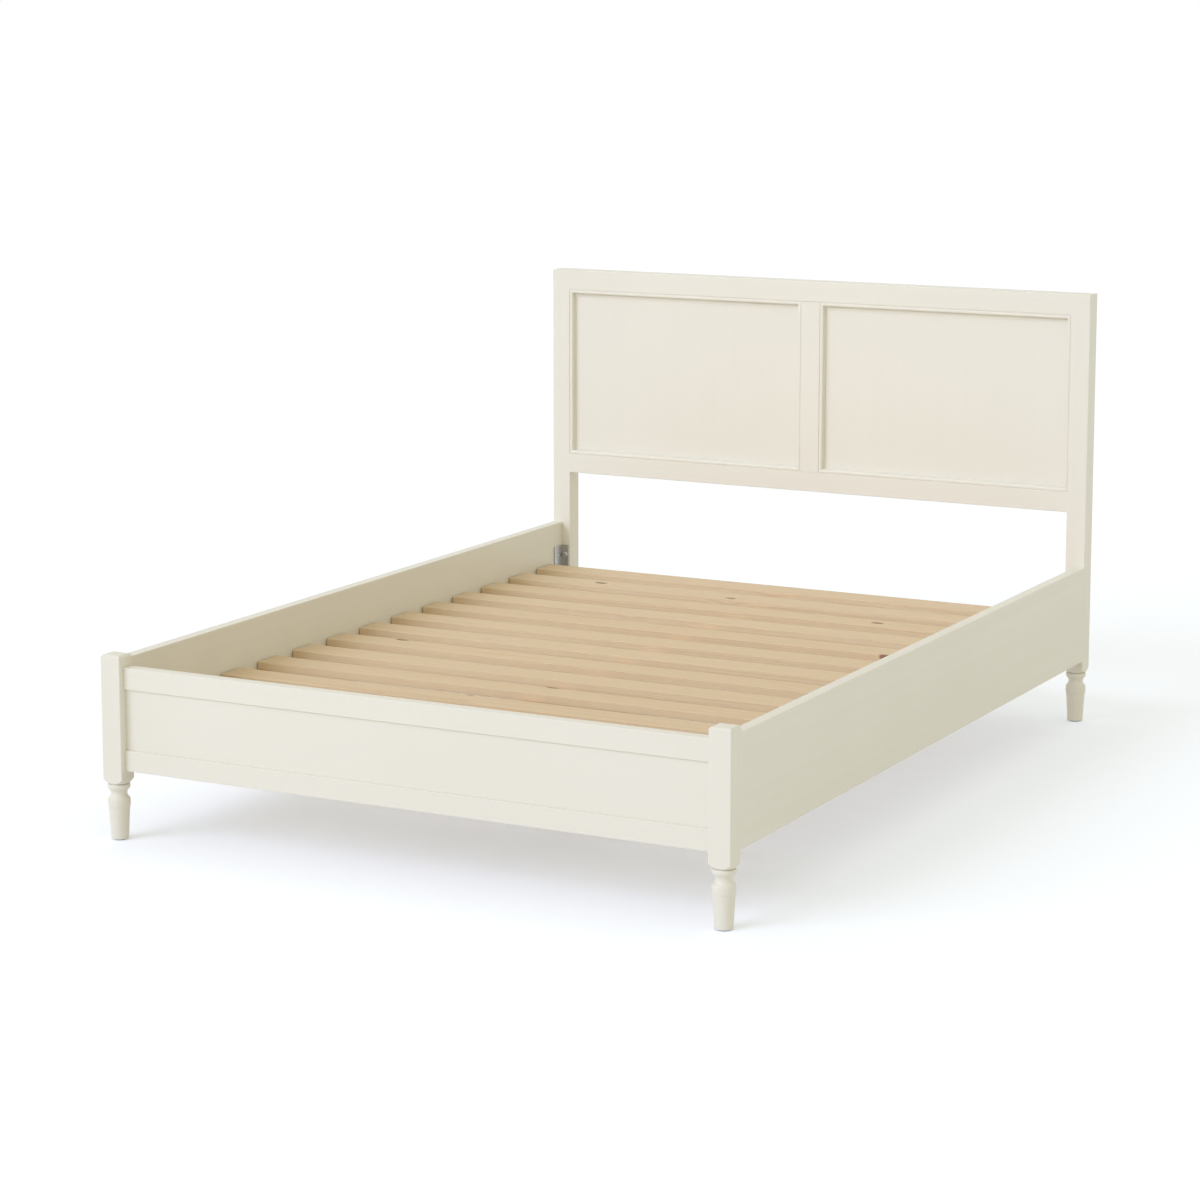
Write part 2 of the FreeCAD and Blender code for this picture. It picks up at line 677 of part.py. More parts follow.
def mouldings():
    """Four mitred lengths round each headboard panel."""
    low, high = "place.head_panel_bottom", "place.head_panel_top"
    width = "(place.post_inner_x - place.head_panel_inner_x)"
    height = "(place.head_panel_top - place.head_panel_bottom)"
    openings = {"left": ("-place.post_inner_x", "-place.head_panel_inner_x"),
                "right": ("place.head_panel_inner_x", "place.post_inner_x")}
    for name, (start, end) in openings.items():
        front = "place.well_head_y"
        moulding(f"moulding_{name}_panel_top", (start, front, high), 0, width)
        moulding(f"moulding_{name}_panel_bottom", (end, front, low), 180, width)
        moulding(f"moulding_{name}_panel_left", (start, front, low), -90, height)
        moulding(f"moulding_{name}_panel_right", (end, front, high), 90, height)


# Side rails, ledgers and slats

def slat_starts():
    """Distance of each slat's near edge from the foot end of the well."""
    count = int(number("size.slat_count"))
    return [f"({index + 1}) * place.slat_gap + ({index}) * size.slat_width"
            for index in range(count)]


def ledger_screw_marks():
    """Distances of the ledger screws from the foot end of the well."""
    count = int(number("size.ledger_screw_count"))
    reach = "(size.well_length - 2 * size.ledger_screw_inset)"
    return [f"size.ledger_screw_inset + ({index}) * {reach} / ({count - 1})"
            for index in range(count)]


def bracket_screw_marks():
    """Distances of the bracket screws from the foot end of the well, and their heights."""
    middle = "size.bracket_bottom + size.bracket_height / 2"
    heights = ("place.bracket_low_z", middle, "place.bracket_high_z")
    marks = ("place.bracket_screw_y", "size.well_length - place.bracket_screw_y")
    return [(mark, height) for mark in marks for height in heights]


def side_rail(label, side):
    """Deep side rail, flush with the posts' outer faces."""
    low_x = "place.rail_inner_x" if side == RIGHT else "-place.half_width"
    body = board(label, "y", (low_x, "place.well_foot_y", "size.side_rail_bottom"),
                 ("size.side_rail_thickness", "size.side_rail_height"), "size.well_length", EASED)
    face = "0" if side == RIGHT else "size.side_rail_thickness"
    middle_z = "place.ledger_bottom + size.ledger_height / 2 - size.side_rail_bottom"
    cut(body, "x", face, side,
        "size.wood_screw_length - size.ledger_width + size.insert_end_clearance",
        circles=[(mark, middle_z, "place.screw_bore") for mark in ledger_screw_marks()])
    cut(body, "x", face, side, "size.bracket_screw_length",
        circles=[(mark, f"{height} - size.side_rail_bottom", "place.screw_bore")
                 for mark, height in bracket_screw_marks()])


def slat_ledger(label, side):
    """Ledger screwed along a side rail, on which the slats' ends lie."""
    low_x = "place.ledger_inner_x" if side == RIGHT else "-place.rail_inner_x"
    body = board(label, "y", (low_x, "place.ledger_foot_y", "place.ledger_bottom"),
                 ("size.ledger_width", "size.ledger_height"), "place.ledger_length")
    start = "(place.ledger_foot_y - place.well_foot_y)"
    face = "0" if side == RIGHT else "size.ledger_width"
    countersunk_bores(body, "x", face, side, "size.ledger_width",
                      [(f"{mark} - {start}", "size.ledger_height / 2")
                       for mark in ledger_screw_marks()])
    cut(body, "z", "size.ledger_height", -1,
        "size.wood_screw_length - size.slat_thickness + size.insert_end_clearance",
        circles=[("size.ledger_width / 2", f"{near} + size.slat_width / 2 - {start}",
                  "place.screw_bore") for near in slat_starts()])


def slats():
    """Full-width slats, screwed to a ledger at each end."""
    for index, near in enumerate(slat_starts(), start=1):
        body = board(f"slat_{index:02d}", "x",
                     ("-place.slat_length / 2", f"place.well_foot_y + {near}",
                      "place.slat_bottom"),
                     ("size.slat_width", "size.slat_thickness"), "place.slat_length",
                     ("size.slat_arris",) * 4)
        centres = [(f"place.slat_length / 2 + {signed(side, 'place.slat_screw_x')}",
                    "size.slat_width / 2") for side in (LEFT, RIGHT)]
        countersunk_bores(body, "z", "size.slat_thickness", -1, "size.slat_thickness", centres)


# Feet

def turned_steps():
    """Outline of a foot and its two bores, from the shares of its largest radius and height."""
    def radius(share):
        return f"({share}) * size.foot_radius"

    def height(share):
        return f"size.glide_thickness + ({share}) * place.turning_height"

    nail_bore = "size.glide_nail_radius + size.bore_clearance"
    nail_end = "size.glide_thickness + size.glide_nail_length"
    bolt_end = "size.foot_height - place.bolt_bore_depth"
    steps = [(nail_bore, "size.glide_thickness")]
    for entry in TURNING_SHARES:
        step = (radius(entry[0]), height(entry[1]))
        if len(entry) == 4:
            step += (radius(entry[2]), height(entry[3]))
        steps.append(step)
    return steps + [("place.bolt_bore", "size.foot_height"), ("place.bolt_bore", bolt_end),
                    ("0", bolt_end), ("0", nail_end), (nail_bore, nail_end)]


def turned_feet():
    """Four turned feet, each bolted up into the end of its post."""
    corners = {"front_left_foot": (LEFT, "place.foot_post_y"),
               "front_right_foot": (RIGHT, "place.foot_post_y"),
               "back_left_foot": (LEFT, "place.head_post_y"),
               "back_right_foot": (RIGHT, "place.head_post_y")}
    for label, (side, centre_y) in corners.items():
        body = new_body(label, (signed(side, "place.post_x"), centre_y, "0"))
        turn_about_z(body, "Revolution", turned_steps())


# Brackets, beam and centre leg

def corner_bracket(label, side, end):
    """Steel angle in the corner between a post and a side rail."""
    outer_x = signed(side, "place.rail_inner_x")
    wall_y = "place.well_foot_y" if end < 0 else "place.well_head_y"
    body = new_body(label, (outer_x, wall_y, "size.bracket_bottom"))
    along = -end
    thick, post_leg, rail_leg = ("size.bracket_thickness", "size.bracket_post_leg",
                                 "size.bracket_rail_leg")

    def spot(across, forward):
        return (signed(-side, across), signed(along, forward))

    sketch = new_sketch(body, "z")
    draw_outline(sketch, [spot("0", "0"), spot(post_leg, "0"), spot(post_leg, thick),
                          spot(thick, thick), spot(thick, rail_leg), spot("0", rail_leg)])
    extrude(body, sketch, "z", "size.bracket_height")
    heights = ("size.bracket_hole_inset", "size.bracket_height - size.bracket_hole_inset")
    bolt_x = signed(side, "place.bracket_middle_x - place.rail_inner_x")
    cut(body, "y", signed(-along, "size.overrun"), along, f"{thick} + 2 * size.overrun",
        circles=[(bolt_x, height, "size.bolt_radius + size.stud_clearance")
                 for height in heights])
    screw_heights = heights + ("size.bracket_height / 2",)
    cut(body, "x", signed(side, "size.overrun"), -side, f"{thick} + 2 * size.overrun",
        circles=[(signed(along, "place.bracket_screw_y"), height, "place.screw_bore")
                 for height in screw_heights])


def beam_hanger(label, end):
    """Steel hanger: a plate on the cross rail with a channel that carries the beam's end."""
    wall_y = "place.foot_rail_back" if end < 0 else "place.well_head_y"
    along = -end
    body = new_body(label, ("0", wall_y, "place.hanger_seat_z"))
    sketch = new_sketch(body, "y", "0" if along > 0 else "-size.hanger_thickness")
    draw_outline(sketch, box_steps("-place.hanger_plate_x", "place.hanger_plate_x",
                                   "-size.hanger_plate_drop",
                                   "size.hanger_plate_height - size.hanger_plate_drop"))
    extrude(body, sketch, "y", "size.hanger_thickness")
    reach = "(size.hanger_thickness + size.hanger_seat_depth)"
    channel = new_sketch(body, "y", "0" if along > 0 else f"-{reach}")
    top = "size.hanger_thickness + size.hanger_cheek_height"
    draw_outline(channel, [
        ("-place.hanger_outer_x", "0"), ("place.hanger_outer_x", "0"),
        ("place.hanger_outer_x", top), ("place.hanger_inner_x", top),
        ("place.hanger_inner_x", "size.hanger_thickness"),
        ("-place.hanger_inner_x", "size.hanger_thickness"),
        ("-place.hanger_inner_x", top), ("-place.hanger_outer_x", top)])
    extrude(body, channel, "y", reach)
    screws = []
    for side in (LEFT, RIGHT):
        for height in hanger_screw_heights():
            screws.append((signed(side, "place.hanger_screw_x"),
                           f"{height} - place.hanger_seat_z", "place.screw_bore"))
    cut(body, "y", signed(-along, "size.overrun"), along,
        "size.hanger_thickness + 2 * size.overrun", circles=screws)
    cut(body, "x", "-place.hanger_outer_x - size.overrun", 1,
        "2 * (place.hanger_outer_x + size.overrun)",
        circles=[(signed(along, "place.hanger_cheek_screw_y"),
                  "place.hanger_cheek_screw_z - place.hanger_seat_z", "place.screw_bore")])


def centre_beam():
    """Beam from the foot end to the headboard, under the middle of every slat."""
    length = "(place.beam_head_y - place.beam_foot_y)"
    body = board("centre_beam", "y",
                 ("-size.beam_width / 2", "place.beam_foot_y", "place.beam_bottom"),
                 ("size.beam_width", "size.beam_height"), length)
    marks = ("place.hanger_cheek_screw_y - size.hanger_thickness - size.beam_end_clearance",
             f"{length} - (place.hanger_cheek_screw_y - size.hanger_thickness "
             "- size.beam_end_clearance)")
    height = "place.hanger_cheek_screw_z - place.beam_bottom"
    for level, towards in (("0", 1), ("size.beam_width", -1)):
        cut(body, "x", level, towards, "size.bracket_screw_length",
            circles=[(mark, height, "place.screw_bore") for mark in marks])
    cut(body, "z", "0", 1, "place.bolt_bore_depth",
        circles=[("size.beam_width / 2", "-place.beam_foot_y", "place.bolt_bore")])


def centre_leg():
    """Square leg under the middle of the beam, bored for its levelling foot."""
    body = new_body("centre_leg", ("0", "0", "size.centre_leg_bottom"))
    sketch = new_sketch(body, "z")
    half = "size.centre_leg_width / 2"
    draw_outline(sketch, box_steps(f"-{half}", half, f"-{half}", half, EASED))
    height = "place.beam_bottom - size.centre_leg_bottom"
    extrude(body, sketch, "z", height)
    foot_bolt_bore(body, -1, height)
    cut(body, "z", "0", 1, "size.insert_length",
        circles=[("0", "0", "size.insert_radius + size.bore_clearance")])
    cut(body, "z", "0", 1,
        "size.stud_top + size.leveller_travel + size.insert_end_clearance "
        "- size.centre_leg_bottom",
        circles=[("0", "0", "size.stud_radius + size.stud_clearance")])


def levelling_foot():
    """Screw-in foot of the centre leg: a pad on the floor and a stud that turns in it."""
    pad = new_body("leveller_pad", ("0", "0", "0"))
    socket = "size.stud_foot_radius + size.stud_clearance"
    turn_about_z(pad, "Revolution", [
        ("0", "0"), ("size.pad_radius - size.tip_chamfer", "0"),
        ("size.pad_radius", "size.tip_chamfer"), ("size.pad_radius", "size.pad_rim_height"),
        ("size.pad_boss_radius", "size.pad_height"), (socket, "size.pad_height"),
        (socket, "size.pad_height - size.pad_socket_depth"),
        ("0", "size.pad_height - size.pad_socket_depth")])
    stud = new_body("leveller_stud", ("0", "0", "0"))
    foot_end = "size.pad_height - size.pad_socket_depth + size.stud_clearance"
    turn_about_z(stud, "Revolution", [
        ("0", foot_end), ("size.stud_foot_radius", foot_end),
        ("size.stud_foot_radius", "place.stud_hex_bottom"),
        ("size.stud_radius", "place.stud_hex_bottom"),
        ("size.stud_radius", "size.stud_top - size.tip_chamfer"),
        ("size.stud_radius - size.tip_chamfer", "size.stud_top"), ("0", "size.stud_top")])
    hexagon = new_sketch(stud, "z", "place.stud_hex_bottom")
    draw_hexagon(hexagon, "size.stud_hex_width")
    extrude(stud, hexagon, "z", "size.stud_hex_height")


def draw_hexagon(sketch, width):
    """Hexagon about the sketch's origin, given across its flats."""
    steps = []
    for corner in range(6):
        angle = math.radians(60 * corner)
        across_share = math.cos(angle) / math.sqrt(3)
        up_share = math.sin(angle) / math.sqrt(3)
        steps.append((f"({across_share}) * {width}", f"({up_share}) * {width}"))
    draw_outline(sketch, steps)


# Fasteners: one pattern of each kind, set out as separate solids

def pattern_shape(label, steps, socket=False):
    """Shape of one fastener, turned about Z with its head up."""
    body = new_body(label, ("0", "0", "0"))
    pieces.remove(body)
    turn_about_z(body, "Revolution", steps)
    if socket:
        sketch = new_sketch(body, "z", "size.bolt_head_height")
        draw_hexagon(sketch, "size.bolt_socket_width")
        recess = body.newObject("PartDesign::Pocket", f"{body.Name}_socket")
        recess.Profile = sketch
        recess.setExpression("Length", "size.bolt_socket_depth")
    return body


def set_out(label, pattern, spots):
    """Copies of a fastener as one node. A spot is a place and the way that the head points."""
    doc.recompute()
    copies = []
    for origin, heading in spots:
        copy = pattern.Shape.copy()
        turn = Rotation(Vector(0, 0, 1), Vector(*heading))
        copy.Placement = Placement(Vector(*map(number, origin)), turn)
        copies.append(copy)
    group = doc.addObject("Part::Feature", label)
    group.Shape = Part.makeCompound(copies)
    group.Placement = Placement()
    finish_piece(group, label)


def frame_dowels():
    """Beech dowels between the posts and the cross rails."""
    radius, half = "size.dowel_radius", "size.dowel_length / 2"
    tip = f"{radius} - size.tip_chamfer"
    pattern = pattern_shape("dowel_pattern", [
        ("0", f"-{half}"), (tip, f"-{half}"), (radius, f"-{half} + size.tip_chamfer"),
        (radius, f"{half} - size.tip_chamfer"), (tip, half), ("0", half)])
    spots = []
    for side in (LEFT, RIGHT):
        across = signed(side, "place.post_inner_x")
        for mark in FOOT_TOP_DOWELS + FOOT_BOTTOM_DOWELS:
            spots.append(((across, "place.foot_rail_middle", mark), (1, 0, 0)))
        for mark in HEAD_TOP_DOWELS + HEAD_BOTTOM_DOWELS + HEAD_LOWER_DOWELS:
            spots.append(((across, "place.head_rail_middle", mark), (1, 0, 0)))
    set_out("frame_dowels", pattern, spots)


def hanger_bolts():
    """Headless bolts: one up through each turned foot into its post, one into the centre leg."""
    radius, half = "size.hanger_bolt_radius", "size.hanger_bolt_length / 2"
    tip = f"{radius} - size.tip_chamfer"
    pattern = pattern_shape("hanger_bolt_pattern", [
        ("0", f"-{half}"), (tip, f"-{half}"), (radius, f"-{half} + size.tip_chamfer"),
        (radius, f"{half} - size.tip_chamfer"), (tip, half), ("0", half)])
    spots = [((signed(side, "place.post_x"), centre_y, "size.foot_height"), (0, 0, 1))
             for side in (LEFT, RIGHT) for centre_y in ("place.foot_post_y", "place.head_post_y")]
    spots.append((("0", "0", "place.beam_bottom"), (0, 0, 1)))
    set_out("hanger_bolts", pattern, spots)


def bracket_corners():
    """Place of each bracket bolt on its post, and the way that its head points."""
    corners = []
    for side in (LEFT, RIGHT):
        for wall_y, heading in (("place.well_foot_y", 1), ("place.well_head_y", -1)):
            for height in ("place.bracket_low_z", "place.bracket_high_z"):
                corners.append((signed(side, "place.bracket_middle_x"), wall_y, height, heading))
    return corners


def threaded_inserts():
    """Threaded inserts in the posts and in the centre leg."""
    outer, inner = "size.insert_radius", "(size.stud_radius + size.stud_clearance)"
    pattern = pattern_shape("insert_pattern", [
        (inner, "-size.insert_length"), (f"{outer} - size.tip_chamfer", "-size.insert_length"),
        (outer, "-size.insert_length + size.tip_chamfer"), (outer, "0"), (inner, "0")])
    spots = [((x, y, z), (0, heading, 0)) for x, y, z, heading in bracket_corners()]
    spots.append((("0", "0", "size.centre_leg_bottom"), (0, 0, -1)))
    set_out("threaded_inserts", pattern, spots)


def bracket_bolts():
    """Socket-head bolts that hold the corner brackets to the posts."""
    head, shank = "size.bolt_head_radius", "size.bolt_radius"
    pattern = pattern_shape("bolt_pattern", [
        ("0", "-size.bolt_length"), (f"{shank} - size.tip_chamfer", "-size.bolt_length"),
        (shank, "-size.bolt_length + size.tip_chamfer"), (shank, "0"), (head, "0"),
        (head, "size.bolt_head_height - size.tip_chamfer"),
        (f"{head} - size.tip_chamfer", "size.bolt_head_height"),
        ("0", "size.bolt_head_height")], socket=True)
    spots = [((x, f"{y} + ({heading}) * size.bracket_thickness", z), (0, heading, 0))
             for x, y, z, heading in bracket_corners()]
    set_out("bracket_bolts", pattern, spots)


def bracket_screws():
    """Short pan-head screws of the corner brackets and the beam hangers."""
    head, shank = "size.bracket_screw_head_radius", "size.screw_radius"
    length = "size.bracket_screw_length"
    pattern = pattern_shape("bracket_screw_pattern", [
        ("0", f"-{length}"), (shank, f"-{length} + 2 * {shank}"), (shank, "0"), (head, "0"),
        (head, "size.bracket_screw_head_height - size.tip_chamfer"),
        (f"{head} - size.tip_chamfer", "size.bracket_screw_head_height"),
        ("0", "size.bracket_screw_head_height")])
    spots = []
    for side in (LEFT, RIGHT):
        face = signed(side, "place.rail_inner_x - size.bracket_thickness")
        for mark, height in bracket_screw_marks():
            spots.append(((face, f"place.well_foot_y + {mark}", height), (-side, 0, 0)))
    ends = (("place.foot_rail_back", 1), ("place.well_head_y", -1))
    for wall_y, heading in ends:
        for side in (LEFT, RIGHT):
            for height in hanger_screw_heights():
                spots.append(((signed(side, "place.hanger_screw_x"),
                               f"{wall_y} + ({heading}) * size.hanger_thickness", height),
                              (0, heading, 0)))
            spots.append(((signed(side, "place.hanger_outer_x"),
                           f"{wall_y} + ({heading}) * place.hanger_cheek_screw_y",
                           "place.hanger_cheek_screw_z"), (side, 0, 0)))
    set_out("bracket_screws", pattern, spots)


def wood_screws():
    """Countersunk screws of the slats and the ledgers."""
    head, shank = "size.wood_screw_head_radius", "size.screw_radius"
    length = "size.wood_screw_length"
    pattern = pattern_shape("wood_screw_pattern", [
        ("0", f"-{length}"), (shank, f"-{length} + 2 * {shank}"),
        (shank, "-place.screw_head_height"), (head, "0"), ("0", "0")])
    spots = []
    for side in (LEFT, RIGHT):
        for near in slat_starts():
            spots.append(((signed(side, "place.slat_screw_x"),
                           f"place.well_foot_y + {near} + size.slat_width / 2",
                           "size.slat_top"), (0, 0, 1)))
        for mark in ledger_screw_marks():
            spots.append(((signed(side, "place.ledger_inner_x"), f"place.well_foot_y + {mark}",
                           "place.ledger_bottom + size.ledger_height / 2"), (-side, 0, 0)))
    set_out("wood_screws", pattern, spots)


def foot_glides():
    """Nail-on glides under the turned feet."""
    nail = "size.glide_nail_radius"
    nail_top = "size.glide_thickness + size.glide_nail_length - size.tip_chamfer"
    pattern = pattern_shape("glide_pattern", [
        ("0", "0"), ("size.glide_radius - size.glide_thickness / 2", "0"),
        ("size.glide_radius", "size.glide_thickness / 2"),
        ("size.glide_radius", "size.glide_thickness"), (nail, "size.glide_thickness"),
        (nail, f"{nail_top} - 2 * {nail}"), ("0", nail_top)])
    spots = [((signed(side, "place.post_x"), centre_y, "0"), (0, 0, 1))
             for side in (LEFT, RIGHT) for centre_y in ("place.foot_post_y", "place.head_post_y")]
    set_out("foot_glides", pattern, spots)


def check_model():
    """Stop if a feature failed, a cut removed nothing or a piece has no valid solid."""
    for item in doc.Objects:
        if {"Invalid", "Error"} & set(item.State):
            raise RuntimeError(f"{item.Name} failed")
        if item.TypeId in ("PartDesign::Pocket", "PartDesign::Groove"):
            removed = item.BaseFeature.Shape.Volume - item.Shape.Volume
            if removed <= 0:
                raise RuntimeError(f"{item.Name} cut nothing")
    for piece in pieces:
        if piece.Shape.isNull() or not piece.Shape.isValid() or not piece.Shape.Solids:
            raise RuntimeError(f"{piece.Label} is not a valid solid")


def build():
    """Make every piece of the bed."""
    for side, name in ((LEFT, "left"), (RIGHT, "right")):
        foot_post(f"foot_post_{name}", side)
        headboard_post(f"headboard_post_{name}", side)
        side_rail(f"side_rail_{name}", side)
        slat_ledger(f"slat_ledger_{name}", side)
        corner_bracket(f"front_{name}_bracket", side, -1)
        corner_bracket(f"back_{name}_bracket", side, 1)
    foot_rails()
    headboard_rails()
    headboard_muntin()
    panels()
    mouldings()
    slats()
    turned_feet()
    centre_beam()
    beam_hanger("beam_hanger_foot", -1)
    beam_hanger("beam_hanger_head", 1)
    centre_leg()
    levelling_foot()
    frame_dowels()
    hanger_bolts()
    threaded_inserts()
    bracket_bolts()
    bracket_screws()
    wood_screws()
    foot_glides()


fill_sheet(size, SIZES, "")
fill_sheet(place, PLACES, "=")
doc.recompute()
build()
doc.recompute()
check_model()

os.makedirs("parts", exist_ok=True)
for piece in pieces:
    piece.Shape.exportStep(f"parts/{piece.Label}.step")
print(len(pieces), "pieces")
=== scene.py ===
import math

import bmesh
import bpy
from bpy.props import FloatProperty, FloatVectorProperty, IntProperty, PointerProperty
from mathutils import Euler, Matrix, Vector


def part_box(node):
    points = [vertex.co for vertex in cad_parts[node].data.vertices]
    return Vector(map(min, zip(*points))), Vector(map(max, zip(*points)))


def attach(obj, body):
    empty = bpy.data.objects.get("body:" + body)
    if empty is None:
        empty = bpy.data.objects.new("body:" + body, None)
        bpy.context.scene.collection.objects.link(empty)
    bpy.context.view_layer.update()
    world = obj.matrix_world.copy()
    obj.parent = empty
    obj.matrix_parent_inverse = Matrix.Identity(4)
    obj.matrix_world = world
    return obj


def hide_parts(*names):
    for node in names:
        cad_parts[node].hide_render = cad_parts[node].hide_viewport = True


bl_info = {
    "name": "Panelled Bed Frame",
    "version": (1, 0, 0),
    "blender": (4, 5, 0),
    "location": "3D View > Sidebar > Bed Frame",
    "description": "Finishes, fasteners and studio stage of a painted double bed frame",
    "category": "Object",
}

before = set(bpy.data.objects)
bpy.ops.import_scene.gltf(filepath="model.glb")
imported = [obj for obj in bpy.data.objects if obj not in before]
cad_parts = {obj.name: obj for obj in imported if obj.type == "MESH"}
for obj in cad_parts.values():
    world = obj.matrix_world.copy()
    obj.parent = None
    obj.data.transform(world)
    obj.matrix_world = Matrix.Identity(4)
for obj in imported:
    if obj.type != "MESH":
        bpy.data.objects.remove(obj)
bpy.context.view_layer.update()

# Directions that a brush or a tree's fibres run in
ACROSS, ALONG, UPRIGHT, ROUND = "across", "along", "upright", "round"

# Turn that brings each direction of the fibres onto the X axis
FIBRE_TURNS = {ACROSS: (0, 0, 0), ALONG: (0, 0, -math.pi / 2), UPRIGHT: (0, math.pi / 2, 0)}

# Sides of a headboard panel, each with the direction from its moulding to the panel's middle
PANEL_SIDES = {"top": (0, 0, -1), "bottom": (0, 0, 1), "left": (1, 0, 0), "right": (-1, 0, 0)}

ENDS_AND_SIDES = [f"{end}_{side}" for end in ("front", "back") for side in ("left", "right")]

WHITE = (1.0, 1.0, 1.0)

# Share of the headboard's height that the head light aims at
HEAD_AIM_SHARE = 0.75

# Camera: width of its picture in millimetres, and the distances in metres between which it sees
SENSOR_WIDTH = 36
NEAREST, FARTHEST = 0.1, 300

# Rays that feel for edges and corners at each point
WEAR_SAMPLES = 8

# Layout of the node trees
NODES_IN_ROW = 9
NODE_SPACING = Vector((220, 260))

# Sockets of a colour mix: factor, first and second colour, and the result
MIX_INPUTS = (0, 6, 7)
MIX_RESULT = 2

# Length that one band of a wave texture has at scale 1
WAVE_LENGTH_AT_SCALE_1 = math.pi / 10

# Fineness of the grain in a metre, along the fibres and both ways across them
KNOT_FINENESS = (4.0, 8.5, 4.0)
DRIFT_FINENESS = (1.5, 24.0, 24.0)
YEAR_FINENESS = (1.1, 135.0, 135.0)
FIBRE_FINENESS = (14.0, 800.0, 800.0)
BEECH_RAY_FINENESS = (350.0, 1500.0, 1500.0)

# Growth rings: how the tree tapers, the place of its pith beside the boards, how far knots and
# drift bend the rings, and how sharply the late wood sets in
TREE_TAPER = (0.045, 1.0, 1.0)
PITH_OFFSET = (0.0, 0.021, -0.047)
KNOT_BEND = 9.0
DRIFT_BEND = 8.0
LATE_WOOD_SHARPNESS = 2.4

# Furthest shift in the tree from one slat to another
SLAT_SHIFT = (7.0, 0.9, 0.5)

# Fineness of the plating's scratches in a metre, and depth of these and of the nylon's grain
SCRATCH_FINENESS = (1800.0, 260.0, 1300.0)
SCRATCH_DEPTH = 0.00001
SPARK_DEPTH = 0.00003

# Fasteners from the rim of the head to the tip: radius, and height over the head's top
SLAT_SCREW_RINGS = ((0.0039, 0.0), (0.004, -0.00012), (0.002, -0.0021), (0.0019, -0.036),
                    (0.0001, -0.0399))
FITTING_SCREW_RINGS = ((0.0026, 0.0), (0.0031, -0.0002), (0.0036, -0.0007), (0.0038, -0.0014),
                       (0.0038, -0.0024), (0.002, -0.0024), (0.0019, -0.0144),
                       (0.0001, -0.0183))
SOCKET_BOLT_RINGS = ((0.0048, 0.0), (0.0058, -0.0003), (0.0063, -0.0009), (0.0065, -0.0017),
                     (0.0065, -0.005), (0.004, -0.005), (0.004, -0.0202), (0.0031, -0.021))

# Recesses in the heads: how far the corners of the flat come in, and how far each floor narrows
CROSS_CORNER_SHARE = 0.78
CROSS_TAPER_SHARE = 0.5
SOCKET_TAPER_SHARE = 1.0

# Outline of one turn of thread: share of its height over the root, and share of the pitch
THREAD_SHARES = ((0, 0.06), (1, 0.44), (1, 0.56), (0, 0.94), (0, 1.06))

# Turns of thread that are made and cut off: those below the rod, and all of them
SPARE_TURNS_BELOW = 2
SPARE_TURNS = 3

# Distance under which the points of one turn of thread and the next are the same, in pitches
THREAD_MERGE_SHARE = 0.02

# Levelling stud: the rod, its hexagon over the pad, and the round foot in the pad
STUD_RADIUS = 0.004
HEXAGON_GAP = 0.0003
HEXAGON_HEIGHT = 0.006
HEXAGON_CHAMFER = 0.0007
HEXAGON_CHAMFER_SHARE = 0.9
STUD_FOOT_RADIUS = 0.005
STUD_FOOT_BASE_RADIUS = 0.0042
STUD_FOOT_BASE_HEIGHT = 0.0006
STUD_NECK_RADIUS = 0.0046
STUD_NECK_HEIGHT = 0.0008

# Angle over which an edge is drawn sharp, and turn from one fastener of a node to the next
SHARP_ANGLE = math.radians(35)
FASTENER_TURN = math.radians(137.5)

# Distance under which the points of one fastener are the same, and tolerance of a flat cut
MERGE_DISTANCE = 0.000001
CUT_TOLERANCE = 0.0000001

# Section of the panel moulding: shares of its width from the frame inwards, and of its depth from
# the front. A fine groove, a broad crown, a fillet, and a steep hollow down to a lip on the panel
MOULDING_SECTION_SHARES = (
    (0, 1), (0, 0.09), (0.04, 0.09), (0.08, 0.04), (0.15, 0.008), (0.26, 0), (0.40, 0),
    (0.54, 0.008), (0.64, 0.033), (0.71, 0.08), (0.755, 0.14), (0.755, 0.19), (0.80, 0.19),
    (0.81, 0.37), (0.83, 0.59), (0.86, 0.78), (0.92, 0.90), (1, 0.95), (1, 1))


# Settings

